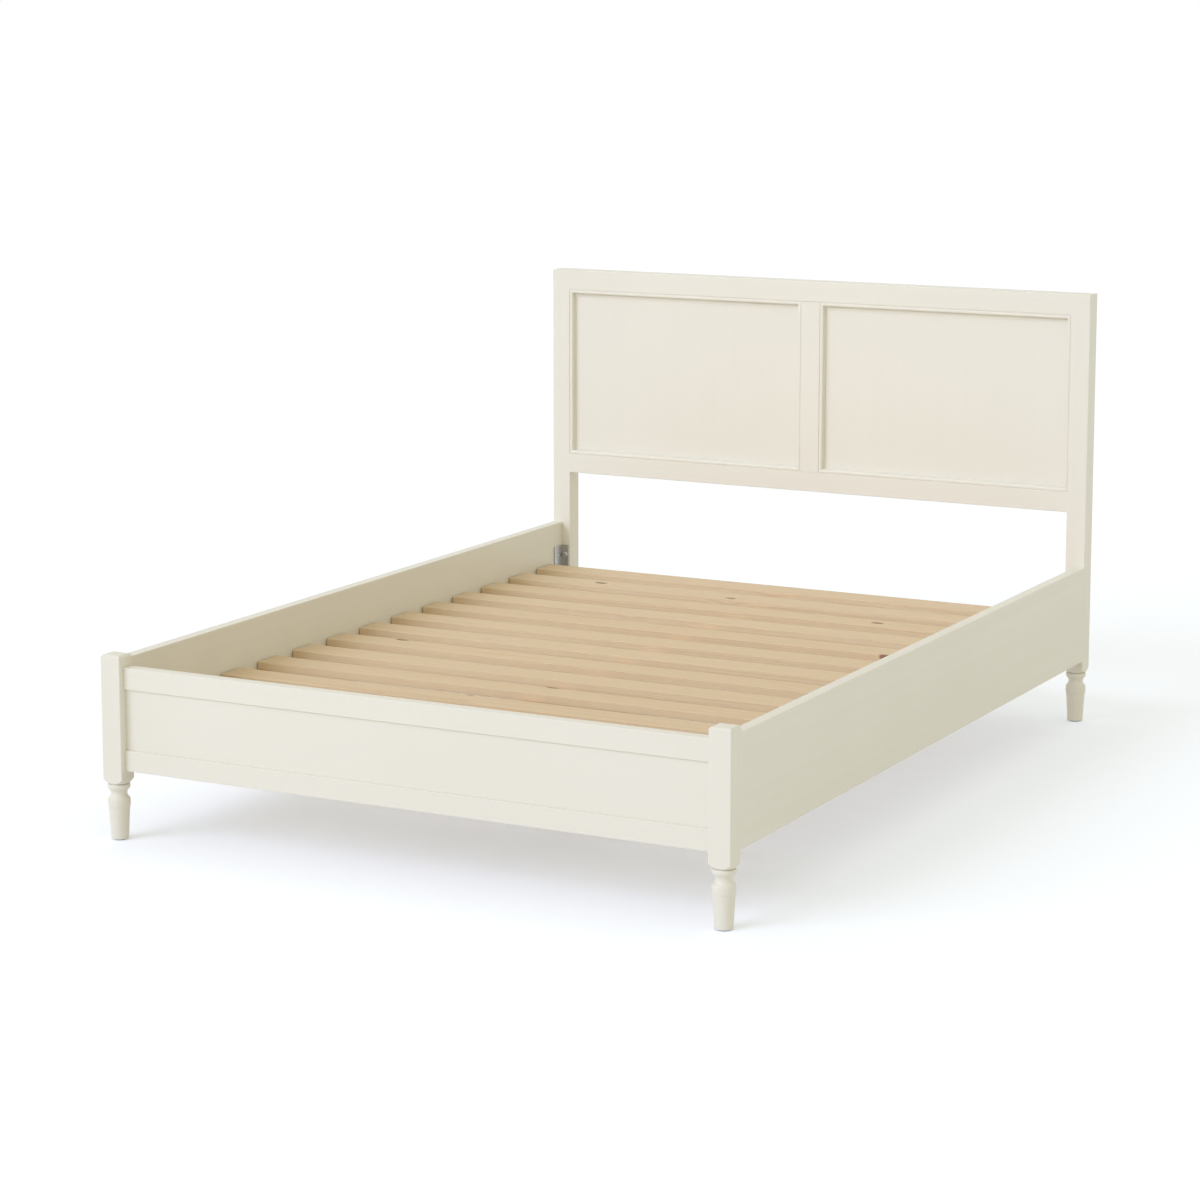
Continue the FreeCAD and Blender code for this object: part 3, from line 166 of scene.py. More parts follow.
class PaintSettings(bpy.types.PropertyGroup):
    colour: FloatVectorProperty(
        name="Paint", description="Warm off-white of the brushed paint",
        subtype="COLOR", min=0, max=1, default=(0.825, 0.807, 0.705))
    thin_colour: FloatVectorProperty(
        name="Thin paint", description="Where the paint lies thinner along a brush mark",
        subtype="COLOR", min=0, max=1, default=(0.775, 0.75, 0.645))
    # Painted highlight: a lighter paint colour laid along outer edges where light catches them
    painted_edge_highlight_colour: FloatVectorProperty(
        name="Painted edge highlight", description="Lighter colour painted along outer edges as a highlight",
        subtype="COLOR", min=0, max=1, default=(0.86, 0.835, 0.755))
    # Painted shade: a darker colour laid into inner corners, creases and joints where shade falls
    painted_corner_shade_colour: FloatVectorProperty(
        name="Painted corner shade", description="Darker colour painted into inner corners as shade",
        subtype="COLOR", min=0, max=1, default=(0.60, 0.56, 0.46))
    chip_colour: FloatVectorProperty(
        name="Worn through", description="Undercoat that shows where an edge is worn through",
        subtype="COLOR", min=0, max=1, default=(0.62, 0.55, 0.42))
    roughness: FloatProperty(
        name="Roughness", description="Satin sheen of the paint", subtype="FACTOR",
        min=0, max=1, default=0.42)
    stroke_length: FloatProperty(
        name="Stroke length", description="Length of one brush mark", unit="LENGTH",
        min=0.01, max=1, default=0.16)
    stroke_width: FloatProperty(
        name="Stroke width", description="Width of one bristle mark", unit="LENGTH",
        min=0.0002, max=0.01, default=0.0013)
    stroke_depth: FloatProperty(
        name="Stroke depth", description="Height of the ridges that the bristles leave",
        unit="LENGTH", min=0, max=0.001, default=0.000025)
    # Width of the edge mask that carries wear and the painted highlight
    edge_width: FloatProperty(
        name="Edge width", description="How far wear and the painted highlight reach from an edge", unit="LENGTH",
        min=0.0002, max=0.01, default=0.0022)
    corner_reach: FloatProperty(
        name="Corner reach", description="How far the shade reaches out of an inner corner",
        unit="LENGTH", min=0.0002, max=0.02, default=0.0009)


class TimberSettings(bpy.types.PropertyGroup):
    early_colour: FloatVectorProperty(
        name="Early wood", description="Pale wood between the growth rings of the pine",
        subtype="COLOR", min=0, max=1, default=(0.76, 0.61, 0.405))
    late_colour: FloatVectorProperty(
        name="Late wood", description="Darker lines of the pine's growth rings",
        subtype="COLOR", min=0, max=1, default=(0.60, 0.415, 0.225))
    knot_colour: FloatVectorProperty(
        name="Knots", description="Heart of the pine's knots",
        subtype="COLOR", min=0, max=1, default=(0.19, 0.075, 0.028))
    ring_spacing: FloatProperty(
        name="Ring spacing", description="Distance from one growth ring of the pine to the next",
        unit="LENGTH", min=0.001, max=0.02, default=0.004)
    beech_colour: FloatVectorProperty(
        name="Beech", description="Colour of the beech dowels",
        subtype="COLOR", min=0, max=1, default=(0.55, 0.36, 0.21))
    beech_fleck_colour: FloatVectorProperty(
        name="Beech flecks", description="Short dark rays of the beech",
        subtype="COLOR", min=0, max=1, default=(0.38, 0.21, 0.10))
    beech_spacing: FloatProperty(
        name="Beech ring spacing", description="Distance between the beech's growth rings",
        unit="LENGTH", min=0.0005, max=0.02, default=0.0022)
    raised_grain: FloatProperty(
        name="Raised grain", description="Height of the grain on planed wood",
        unit="LENGTH", min=0, max=0.002, default=0.00025)
    roughness: FloatProperty(
        name="Roughness", description="Sheen of the bare wood", subtype="FACTOR",
        min=0, max=1, default=0.62)


class MetalSettings(bpy.types.PropertyGroup):
    colour: FloatVectorProperty(
        name="Zinc", description="Bright zinc plating of the steel fittings",
        subtype="COLOR", min=0, max=1, default=(0.62, 0.62, 0.60))
    bloom_colour: FloatVectorProperty(
        name="Bloom", description="Dull patches in the plating",
        subtype="COLOR", min=0, max=1, default=(0.46, 0.47, 0.46))
    bright_colour: FloatVectorProperty(
        name="Bright edge", description="Plating that is rubbed bright on the edges",
        subtype="COLOR", min=0, max=1, default=(0.80, 0.80, 0.78))
    roughness: FloatProperty(
        name="Roughness", description="Sheen of the plating", subtype="FACTOR",
        min=0, max=1, default=0.34)
    fleck_size: FloatProperty(
        name="Fleck size", description="Size of one crystal in the plating", unit="LENGTH",
        min=0.0002, max=0.02, default=0.0022)


class NylonSettings(bpy.types.PropertyGroup):
    colour: FloatVectorProperty(
        name="Nylon", description="Moulded glides and the levelling pad",
        subtype="COLOR", min=0, max=1, default=(0.05, 0.045, 0.04))
    dust_colour: FloatVectorProperty(
        name="Dust", description="Floor dust that clings to the nylon",
        subtype="COLOR", min=0, max=1, default=(0.16, 0.145, 0.125))
    roughness: FloatProperty(
        name="Roughness", description="Sheen of the moulded nylon", subtype="FACTOR",
        min=0, max=1, default=0.55)
    spark_size: FloatProperty(
        name="Spark texture", description="Size of the grains that the mould leaves",
        unit="LENGTH", min=0.0001, max=0.005, default=0.0005)


class FastenerSettings(bpy.types.PropertyGroup):
    segments: IntProperty(
        name="Segments", description="Sides of each round head", min=12, max=64, default=24)
    recess_width: FloatProperty(
        name="Cross width", description="Width of each arm of the cross recess",
        unit="LENGTH", min=0.0002, max=0.003, default=0.001)
    recess_reach: FloatProperty(
        name="Cross reach", description="Distance from a screw's axis to the tip of an arm",
        unit="LENGTH", min=0.0005, max=0.004, default=0.002)
    recess_depth: FloatProperty(
        name="Cross depth", description="Depth of the cross recess", unit="LENGTH",
        min=0.0002, max=0.004, default=0.0015)
    socket_width: FloatProperty(
        name="Socket width", description="Bolt socket across its flats", unit="LENGTH",
        min=0.002, max=0.01, default=0.005)
    socket_depth: FloatProperty(
        name="Socket depth", description="Depth of the bolt socket", unit="LENGTH",
        min=0.001, max=0.005, default=0.003)
    thread_pitch: FloatProperty(
        name="Thread pitch", description="Rise of the levelling stud's thread in one turn",
        unit="LENGTH", min=0.0005, max=0.003, default=0.00125)
    thread_depth: FloatProperty(
        name="Thread depth", description="Depth of the thread's groove", unit="LENGTH",
        min=0.0002, max=0.0015, default=0.00072)


class StageSettings(bpy.types.PropertyGroup):
    floor_colour: FloatVectorProperty(
        name="Floor", description="Plain pale studio floor",
        subtype="COLOR", min=0, max=1, default=(0.90, 0.90, 0.90))
    floor_width: FloatProperty(
        name="Floor width", description="Length of each side of the floor", unit="LENGTH",
        min=5, max=500, default=120)
    floor_lift: FloatVectorProperty(
        name="Floor lift", description="White that the camera sees on the floor besides its light",
        subtype="COLOR", min=0, max=1, default=(0.142, 0.19, 0.256))
    key_strength: FloatProperty(
        name="Key light", description="Strength of the soft lamp at the front left",
        min=0, max=10, default=1.375)
    key_softness: FloatProperty(
        name="Key softness", description="Angle over which the key light spreads",
        subtype="ANGLE", min=0, max=math.pi, default=math.radians(40))
    key_from: FloatVectorProperty(
        name="Key from", description="Direction of the key light, seen from the bed",
        subtype="DIRECTION", default=(-0.45, -0.76, 0.48))
    key_colour: FloatVectorProperty(
        name="Key colour", description="Colour of the key light",
        subtype="COLOR", min=0, max=1, default=(0.665, 0.708, 1.0))
    head_strength: FloatProperty(
        name="Head light", description="Power of the soft lamp that faces the headboard",
        unit="POWER", min=0, max=200, default=0.9)
    head_width: FloatProperty(
        name="Head light width", description="Length of each side of that lamp", unit="LENGTH",
        min=0.1, max=5, default=1.2)
    head_spread: FloatProperty(
        name="Head light spread", description="Angle of the grid in front of that lamp",
        subtype="ANGLE", min=math.radians(1), max=math.pi, default=math.radians(28))
    head_stand: FloatVectorProperty(
        name="Head light place", description="Place of that lamp", subtype="XYZ", unit="LENGTH",
        default=(-1.2, -4.5, 2.2))
    fill_strength: FloatProperty(
        name="Fill light", description="Strength of the light from all round",
        min=0, max=5, default=0.735)
    fill_colour: FloatVectorProperty(
        name="Fill colour", description="Colour of the light from all round",
        subtype="COLOR", min=0, max=1, default=(1.0, 0.962, 0.83))
    lens: FloatProperty(
        name="Lens", description="Focal length for a picture 36 mm wide", unit="CAMERA",
        min=10, max=300, default=97.82)
    stand: FloatVectorProperty(
        name="Camera place", description="Place of the camera", subtype="XYZ", unit="LENGTH",
        default=(3.2618, -6.3503, 1.7906))
    turn: FloatProperty(
        name="Camera turn", description="How far the camera is turned from the bed's length",
        subtype="ANGLE", default=math.radians(27.77))
    tilt: FloatProperty(
        name="Camera tilt", description="How far the camera looks down", subtype="ANGLE",
        default=math.radians(8.911))
    rise: FloatProperty(
        name="Lens shift", description="Upward shift of the picture, in picture widths",
        default=-0.1)


class BedFrameSettings(bpy.types.PropertyGroup):
    paint: PointerProperty(
        name="Paint", description="Colours and brush marks of the paint", type=PaintSettings)
    timber: PointerProperty(
        name="Timber", description="Colours and grain of the bare wood", type=TimberSettings)
    metal: PointerProperty(
        name="Metal", description="Look of the zinc-plated fittings", type=MetalSettings)
    nylon: PointerProperty(
        name="Nylon", description="Look of the moulded nylon", type=NylonSettings)
    fasteners: PointerProperty(
        name="Fasteners", description="Sizes of the heads, recesses and thread",
        type=FastenerSettings)
    stage: PointerProperty(
        name="Stage", description="Floor, lights and camera", type=StageSettings)


def settings():
    return bpy.context.scene.bed_frame


def solid(colour):
    """A colour with full opacity."""
    return (*colour, 1.0)


# Node building

def add_node(tree, kind, inputs=None, **values):
    """Add a node. Inputs go by name or number, and are values or sockets to link."""
    node = tree.nodes.new(kind)
    row, column = divmod(len(tree.nodes), NODES_IN_ROW)
    node.location = (column * NODE_SPACING.x, -row * NODE_SPACING.y)
    for name, value in values.items():
        setattr(node, name, value)
    for key, value in (inputs or {}).items():
        if isinstance(value, bpy.types.NodeSocket):
            tree.links.new(value, node.inputs[key])
        else:
            node.inputs[key].default_value = value
    return node


def calculate(tree, operation, *numbers):
    """Result of one calculation with up to three numbers."""
    return add_node(tree, "ShaderNodeMath", dict(enumerate(numbers)),
                    operation=operation).outputs[0]


def times(tree, first, second):
    """Product of two numbers."""
    return calculate(tree, "MULTIPLY", first, second)


def calculate_vector(tree, operation, first, second):
    """Result of one calculation with two vectors."""
    return add_node(tree, "ShaderNodeVectorMath", {0: first, 1: second},
                    operation=operation).outputs["Vector"]


def stretch(tree, vector, scales):
    """A vector with each axis scaled by itself."""
    return calculate_vector(tree, "MULTIPLY", vector, scales)


def spread(tree, value, low, high, to_low=0.0, to_high=1.0):
    """Smooth step of a value from one range to another."""
    return add_node(tree, "ShaderNodeMapRange", {
        "Value": value, "From Min": low, "From Max": high, "To Min": to_low,
        "To Max": to_high}, interpolation_type="SMOOTHSTEP").outputs["Result"]


def noise(tree, vector, scale, detail, roughness=0.5, output="Fac"):
    """Soft noise between 0 and 1, or three such noises as a colour."""
    return add_node(tree, "ShaderNodeTexNoise", {
        "Vector": vector, "Scale": scale, "Detail": detail,
        "Roughness": roughness}).outputs[output]


def object_place(tree):
    """Place on the object, in metres."""
    return add_node(tree, "ShaderNodeTexCoord").outputs["Object"]


def blend_colours(tree, share, first, second):
    """Mix of two colours, each a socket or a colour setting."""
    colours = [colour if isinstance(colour, bpy.types.NodeSocket) else solid(colour)
               for colour in (first, second)]
    return add_node(tree, "ShaderNodeMix", dict(zip(MIX_INPUTS, (share, *colours))),
                    data_type="RGBA").outputs[MIX_RESULT]


def lay_colours(tree, colour, layers):
    """Lay further colours over one. Each layer is a mask, its share and a colour."""
    for mask, share, over in layers:
        colour = blend_colours(tree, times(tree, mask, share), colour, over)
    return colour


def start_group(name, inputs, outputs):
    """A new node group. Inputs are names with defaults, and a vector's default is a tuple."""
    group = bpy.data.node_groups.new(name, "ShaderNodeTree")
    for label, default in inputs.items():
        kind = "NodeSocketVector" if isinstance(default, tuple) else "NodeSocketFloat"
        socket = group.interface.new_socket(label, in_out="INPUT", socket_type=kind)
        socket.default_value = default
    for label in outputs:
        group.interface.new_socket(label, in_out="OUTPUT", socket_type="NodeSocketFloat")
    return group, add_node(group, "NodeGroupInput").outputs


def end_group(group, results):
    """Link the results of a node group to its outputs."""
    add_node(group, "NodeGroupOutput", results)
    return group


# Effects that several finishes share

def edge_wear_and_painted_light_group():
    """Edge mask for wear and a painted highlight, chips in it, and painted shade in inner corners.
    """
    group, given = start_group("Edge Wear and Painted Light", {
        "Width": 0.0015, "Patch Size": 0.03, "Corner Reach": 0.003}, ("Mask", "Chips", "Corners"))
    inner = add_node(group, "ShaderNodeAmbientOcclusion", {"Distance": given["Width"]},
                     samples=WEAR_SAMPLES, inside=True, only_local=True).outputs["AO"]
    edge = spread(group, inner, 0.93, 0.60)
    place = object_place(group)
    fineness = calculate(group, "DIVIDE", 1.0, given["Patch Size"])
    patches = noise(group, place, fineness, 4.0, 0.62)
    nicks = noise(group, place, times(group, fineness, 5.0), 3.0, 0.7)
    chips = times(group, spread(group, nicks, 0.70, 0.74), spread(group, patches, 0.54, 0.62))
    # Painted shade: occlusion from outside marks inner corners and creases for the darker colour
    outer = add_node(group, "ShaderNodeAmbientOcclusion", {"Distance": given["Corner Reach"]},
                     samples=WEAR_SAMPLES).outputs["AO"]
    # Mask marks outer edges: the paint lays a painted highlight on it, other finishes real wear
    return end_group(group, {
        "Mask": times(group, edge, spread(group, patches, 0.34, 0.62)),
        "Chips": times(group, edge, chips),
        "Corners": spread(group, outer, 0.92, 0.30)})


def brushed_coat_group():
    """Brush marks of a hand-painted coat. Stroke Scale has one over a mark's size on each axis."""
    group, given = start_group("Brushed Coat", {
        "Stroke Scale": (6.0, 700.0, 700.0), "Waviness": 0.004}, ("Ridges", "Streaks", "Cloud"))
    place = object_place(group)
    sway = calculate_vector(group, "SUBTRACT", noise(group, place, 5.0, 1.0, output="Color"),
                            (0.5, 0.5, 0.5))
    reach = add_node(group, "ShaderNodeVectorMath", {0: sway, "Scale": given["Waviness"]},
                     operation="SCALE").outputs["Vector"]
    stroked = stretch(group, calculate_vector(group, "ADD", place, reach), given["Stroke Scale"])
    streaks = noise(group, stretch(group, stroked, (0.14, 0.14, 0.14)), 1.0, 2.0)
    return end_group(group, {
        "Ridges": noise(group, stroked, 1.0, 3.0, 0.58),
        "Streaks": spread(group, streaks, 0.3, 0.7),
        "Cloud": spread(group, noise(group, place, 3.2, 3.0), 0.3, 0.7)})


def timber_group():
    """Sawn wood whose fibres run along the vector's X axis: growth rings, fibres and knots."""
    group, given = start_group("Sawn Timber", {
        "Vector": (0.0, 0.0, 0.0), "Ring Spacing": 0.005, "Knots": 1.0},
        ("Late Wood", "Fibre", "Knot", "Height"))
    vector = given["Vector"]
    reach = add_node(group, "ShaderNodeTexVoronoi", {
        "Vector": stretch(group, vector, KNOT_FINENESS), "Scale": 1.0},
        feature="F1").outputs["Distance"]
    knot = times(group, spread(group, reach, 0.082, 0.052), given["Knots"])
    swirl = times(group, spread(group, reach, 0.34, 0.03), given["Knots"])
    from_pith = calculate_vector(group, "ADD", stretch(group, vector, TREE_TAPER), PITH_OFFSET)
    drift = noise(group, stretch(group, vector, DRIFT_FINENESS), 1.0, 1.0)
    phase = calculate(group, "ADD", times(group, swirl, KNOT_BEND),
                      times(group, drift, DRIFT_BEND))
    bands = calculate(group, "DIVIDE", WAVE_LENGTH_AT_SCALE_1, given["Ring Spacing"])
    rings = add_node(group, "ShaderNodeTexWave", {
        "Vector": from_pith, "Scale": bands, "Distortion": 7.0, "Detail": 2.0,
        "Detail Scale": 0.35, "Detail Roughness": 0.45, "Phase Offset": phase},
        wave_type="RINGS", rings_direction="X", wave_profile="SAW").outputs["Fac"]
    years = noise(group, stretch(group, vector, YEAR_FINENESS), 1.0, 1.0)
    late = times(group, calculate(group, "POWER", rings, LATE_WOOD_SHARPNESS),
                 spread(group, years, 0.32, 0.68, 0.25, 1.0))
    fibre = noise(group, stretch(group, vector, FIBRE_FINENESS), 1.0, 2.0, 0.6)
    height = calculate(group, "ADD", times(group, late, 0.25), times(group, fibre, 0.75))
    return end_group(group, {"Late Wood": late, "Fibre": spread(group, fibre, 0.25, 0.75),
                             "Knot": knot, "Height": height})


def plating_group():
    """Dull and bright flecks of zinc plating, and the fine scratches of handling."""
    group, given = start_group("Zinc Plating", {"Fleck Size": 0.002}, ("Bloom", "Scratches"))
    place = object_place(group)
    fineness = calculate(group, "DIVIDE", 1.0, given["Fleck Size"])
    crystals = add_node(group, "ShaderNodeTexVoronoi", {"Vector": place, "Scale": fineness},
                        feature="F1").outputs["Color"]
    tone = add_node(group, "ShaderNodeSeparateColor", {0: crystals}).outputs[0]
    cloud = noise(group, place, times(group, fineness, 0.12), 3.0)
    bloom = calculate(group, "ADD", times(group, tone, 0.45),
                      times(group, spread(group, cloud, 0.35, 0.65), 0.55))
    scratches = noise(group, stretch(group, place, SCRATCH_FINENESS), 1.0, 2.0, 0.6)
    return end_group(group, {"Bloom": bloom, "Scratches": scratches})


GROUP_MAKERS = {"Edge Wear and Painted Light": edge_wear_and_painted_light_group, "Brushed Coat": brushed_coat_group,
                "Sawn Timber": timber_group, "Zinc Plating": plating_group}


def place_group(tree, name, inputs):
    """Place a shared group, built at its first use, and return its outputs."""
    group = bpy.data.node_groups.get(name) or GROUP_MAKERS[name]()
    return add_node(tree, "ShaderNodeGroup", inputs, node_tree=group).outputs


# Finishes

def empty_tree(owner):
    """The node tree of a material or world, without any nodes."""
    owner.use_nodes = True
    owner.node_tree.nodes.clear()
    return owner.node_tree


def start_material(name):
    """A material and its empty node tree."""
    material = bpy.data.materials.get(name) or bpy.data.materials.new(name)
    return material, empty_tree(material)


def finish_material(tree, colour, roughness, height, depth, metallic=0.0):
    """Add the shader with its colour, roughness and raised detail. Depth is in metres."""
    bump = add_node(tree, "ShaderNodeBump", {"Strength": 1.0, "Distance": depth,
                                             "Height": height})
    shader = add_node(tree, "ShaderNodeBsdfPrincipled", {
        "Base Color": colour, "Roughness": roughness, "Metallic": metallic,
        "Normal": bump.outputs[0]})
    add_node(tree, "ShaderNodeOutputMaterial", {"Surface": shader.outputs[0]})


def paint_finish(direction):
    """Brushed satin paint whose brush marks run in one direction, with painted shade in inner
    corners and a painted highlight along outer edges.
    """
    paint = settings().paint
    long, short = 1 / paint.stroke_length, 1 / paint.stroke_width
    scales = {ACROSS: (long, short, short), ALONG: (short, long, short),
              UPRIGHT: (short, short, long), ROUND: (long, long, short)}
    material, tree = start_material(f"paint_{direction}")
    coat = place_group(tree, "Brushed Coat", {"Stroke Scale": scales[direction]})
    wear = place_group(tree, "Edge Wear and Painted Light", {
        "Width": paint.edge_width, "Patch Size": 0.05, "Corner Reach": paint.corner_reach})
    thin = calculate(tree, "ADD", times(tree, coat["Streaks"], 0.12),
                     times(tree, coat["Cloud"], 0.22))
    # Painted shade in inner corners and a painted highlight along outer edges, then real chips
    # worn through to the undercoat
    colour = lay_colours(tree, blend_colours(tree, thin, paint.colour, paint.thin_colour), (
        (wear["Corners"], 0.6, paint.painted_corner_shade_colour), (wear["Mask"], 0.7, paint.painted_edge_highlight_colour),
        (wear["Chips"], 0.6, paint.chip_colour)))
    sheen = calculate(tree, "MULTIPLY_ADD", coat["Streaks"], 0.10, paint.roughness - 0.05)
    roughness = calculate(tree, "SUBTRACT", sheen, times(tree, wear["Mask"], 0.10))
    height = calculate(tree, "SUBTRACT", coat["Ridges"], times(tree, wear["Chips"], 0.6))
    finish_material(tree, colour, roughness, height, paint.stroke_depth)
    return material


def slat_offset(tree, place):
    """A different part of the tree for each slat, told apart by its place along the bed."""
    first, second = (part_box(name) for name in ("slat_01", "slat_02"))
    spacing = second[0].y - first[0].y
    middle = (first[0].y + first[1].y) / 2
    along = add_node(tree, "ShaderNodeSeparateXYZ", {0: place}).outputs["Y"]
    count = calculate(tree, "DIVIDE", calculate(tree, "SUBTRACT", along, middle - spacing / 2),
                      spacing)
    scatter = add_node(tree, "ShaderNodeTexWhiteNoise", {"W": calculate(tree, "FLOOR", count)},
                       noise_dimensions="1D").outputs["Color"]
    shift = stretch(tree, scatter, SLAT_SHIFT)
    return calculate_vector(tree, "ADD", place, shift), scatter


def pine_finish(name, direction, per_slat=False):
    """Planed bare pine with its fibres in one direction."""
    timber = settings().timber
    material, tree = start_material(name)
    place, warmth = object_place(tree), 0.35
    if per_slat:
        place, scatter = slat_offset(tree, place)
        tone = add_node(tree, "ShaderNodeSeparateColor", {0: scatter}).outputs["Blue"]
        warmth = times(tree, tone, 0.7)
    turned = add_node(tree, "ShaderNodeMapping", {
        "Vector": place, "Rotation": FIBRE_TURNS[direction]}).outputs["Vector"]
    wood = place_group(tree, "Sawn Timber", {
        "Vector": turned, "Ring Spacing": timber.ring_spacing})
    wear = place_group(tree, "Edge Wear and Painted Light", {"Width": 0.002, "Patch Size": 0.02})
    early, late = timber.early_colour, timber.late_colour
    warm_early = [0.8 * pale + 0.2 * dark for pale, dark in zip(early, late)]
    colour = lay_colours(tree, blend_colours(tree, warmth, early, warm_early), (
        (wood["Late Wood"], 0.62, late), (wood["Fibre"], 0.16, late),
        (wood["Knot"], 0.85, timber.knot_colour), (wear["Mask"], 0.4, early)))
    roughness = calculate(tree, "MULTIPLY_ADD", wood["Fibre"], 0.12, timber.roughness - 0.06)
    finish_material(tree, colour, roughness, wood["Height"], timber.raised_grain)
    return material


def beech_finish():
    """Close-grained beech with short dark rays."""
    timber = settings().timber
    material, tree = start_material("beech_dowel")
    place = object_place(tree)
    wood = place_group(tree, "Sawn Timber", {
        "Vector": place, "Ring Spacing": timber.beech_spacing, "Knots": 0.0})
    rays = noise(tree, stretch(tree, place, BEECH_RAY_FINENESS), 1.0, 1.0)
    colour = lay_colours(tree, timber.beech_colour, (
        (wood["Late Wood"], 0.3, timber.beech_fleck_colour),
        (spread(tree, rays, 0.60, 0.68), 1.0, timber.beech_fleck_colour)))
    roughness = calculate(tree, "MULTIPLY_ADD", wood["Fibre"], 0.1, timber.roughness)
    finish_material(tree, colour, roughness, wood["Height"], timber.raised_grain / 2)
    return material


def zinc_finish(name, edge_width, fineness):
    """Zinc-plated steel. Fineness divides the size of the plating's flecks."""
    metal = settings().metal
    material, tree = start_material(name)
    plating = place_group(tree, "Zinc Plating", {"Fleck Size": metal.fleck_size / fineness})
    wear = place_group(tree, "Edge Wear and Painted Light", {"Width": edge_width, "Patch Size": 0.008})
    colour = lay_colours(tree, metal.colour, ((plating["Bloom"], 0.6, metal.bloom_colour),
                                              (wear["Mask"], 1.0, metal.bright_colour)))
    roughness = calculate(tree, "MULTIPLY_ADD", plating["Bloom"], 0.16, metal.roughness - 0.08)
    finish_material(tree, colour, roughness, plating["Scratches"], SCRATCH_DEPTH, metallic=1.0)
    return material


def fastener_finish():
    """Zinc plating with the fine flecks and narrow edges of small pieces."""
    return zinc_finish("zinc_fastener", 0.0004, 3.0)


def nylon_finish():
    """Matt moulded nylon with a little floor dust."""
    nylon = settings().nylon
    material, tree = start_material("nylon")
    place = object_place(tree)
    sparks = noise(tree, place, 1 / nylon.spark_size, 2.0)
    drifts = noise(tree, place, 90.0, 4.0, 0.65)
    wear = place_group(tree, "Edge Wear and Painted Light", {"Width": 0.0012, "Patch Size": 0.01})
    dust = calculate(tree, "MAXIMUM", spread(tree, drifts, 0.48, 0.70), wear["Mask"])
    colour = lay_colours(tree, nylon.colour, ((dust, 0.6, nylon.dust_colour),))
    roughness = calculate(tree, "MULTIPLY_ADD", dust, 0.2, nylon.roughness)
    finish_material(tree, colour, roughness, sparks, SPARK_DEPTH)
    return material


def dress(material, *nodes):
    """Give a finish to pieces of the frame that keep their own shape."""
    for name in nodes:
        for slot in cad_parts[name].material_slots:
            slot.material = material


# Making of new pieces

def fresh_object(name, data):
    """A new object in the scene in place of an old one of that name."""
    old = bpy.data.objects.get(name)
    if old:
        bpy.data.objects.remove(old)
    made = bpy.data.objects.new(name, data)
    bpy.context.scene.collection.objects.link(made)
    return made


def add_piece(name, shape, material, body, node):
    """Turn a finished shape into a piece that rides on a body and stands for a node."""
    bmesh.ops.recalc_face_normals(shape, faces=shape.faces)
    mesh = bpy.data.meshes.new(name)
    shape.to_mesh(mesh)
    shape.free()
    mesh.materials.append(material)
    mesh.shade_smooth()
    mesh.set_sharp_from_angle(angle=SHARP_ANGLE)
    piece = fresh_object(name, mesh)
    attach(piece, body)
    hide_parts(node)


def new_items(result, kind):
    """The items of one kind in an operator's result."""
    return [item for item in result["geom"] if isinstance(item, kind)]


def edges_among(shape, verts):
    """The edges with both ends among some points, in the mesh's own order."""
    return [edge for edge in shape.edges if set(edge.verts) <= set(verts)]


def grow_rings(shape, edges, rings):
    """Extrude a round rim through rings, each a radius and a height, and close the last one."""
    radius, height = rings[0]
    for next_radius, next_height in rings[1:]:
        grown = bmesh.ops.extrude_edge_only(shape, edges=edges)
        verts = new_items(grown, bmesh.types.BMVert)
        edges = [edge for edge in new_items(grown, bmesh.types.BMEdge) if edge.is_boundary]
        share = next_radius / radius
        bmesh.ops.scale(shape, vec=(share, share, 1), verts=verts)
        bmesh.ops.translate(shape, vec=(0, 0, next_height - height), verts=verts)
        radius, height = next_radius, next_height
    bmesh.ops.edgeloop_fill(shape, edges=edges)


def sink_faces(shape, faces, depth, taper):
    """Push faces down into a head, narrowing towards the bottom."""
    grown = bmesh.ops.extrude_face_region(shape, geom=faces)
    verts = new_items(grown, bmesh.types.BMVert)
    bmesh.ops.scale(shape, vec=(taper, taper, 1), verts=verts)
    bmesh.ops.translate(shape, vec=(0, 0, -depth), verts=verts)
    bmesh.ops.delete(shape, geom=faces, context="FACES")


def cross_face(shape, sizes):
    """Flat middle of a screw head: the faces of its cross recess, and its outer edges."""
    bmesh.ops.create_grid(shape, x_segments=3, y_segments=3, size=sizes.recess_reach)
    half_width, reach = sizes.recess_width / 2, sizes.recess_reach
    for vert in shape.verts:
        inner = [abs(value) < reach / 2 for value in vert.co.xy]
        for axis in (0, 1):
            if inner[axis]:
                vert.co[axis] = math.copysign(half_width, vert.co[axis])
        if not any(inner):
            vert.co.xy *= CROSS_CORNER_SHARE
    arms = [face for face in shape.faces
            if min(abs(value) for value in face.calc_center_median().xy) < half_width]
    return arms, [edge for edge in shape.edges if edge.is_boundary]


def socket_face(shape, sizes):
    """The six-sided face of a bolt's socket, and its edges."""
    bmesh.ops.create_circle(shape, cap_ends=True, segments=6,
                            radius=sizes.socket_width / math.sqrt(3))
    return list(shape.faces), list(shape.edges)


def fastener(rings, socket=False):
    """One fastener along Z, with the top of its head at zero height."""
    sizes = settings().fasteners
    if socket:
        head_face, depth, taper = socket_face, sizes.socket_depth, SOCKET_TAPER_SHARE
    else:
        head_face, depth, taper = cross_face, sizes.recess_depth, CROSS_TAPER_SHARE
    shape = bmesh.new()
    faces, inner = head_face(shape, sizes)
    circle = bmesh.ops.create_circle(shape, cap_ends=False, segments=sizes.segments,
                                     radius=rings[0][0])["verts"]
    rim = edges_among(shape, circle)
    bmesh.ops.triangle_fill(shape, use_beauty=True, edges=inner + rim, normal=(0, 0, 1))
    grow_rings(shape, rim, rings)
    sink_faces(shape, faces, depth, taper)
    bmesh.ops.recalc_face_normals(shape, faces=shape.faces)
    return shape


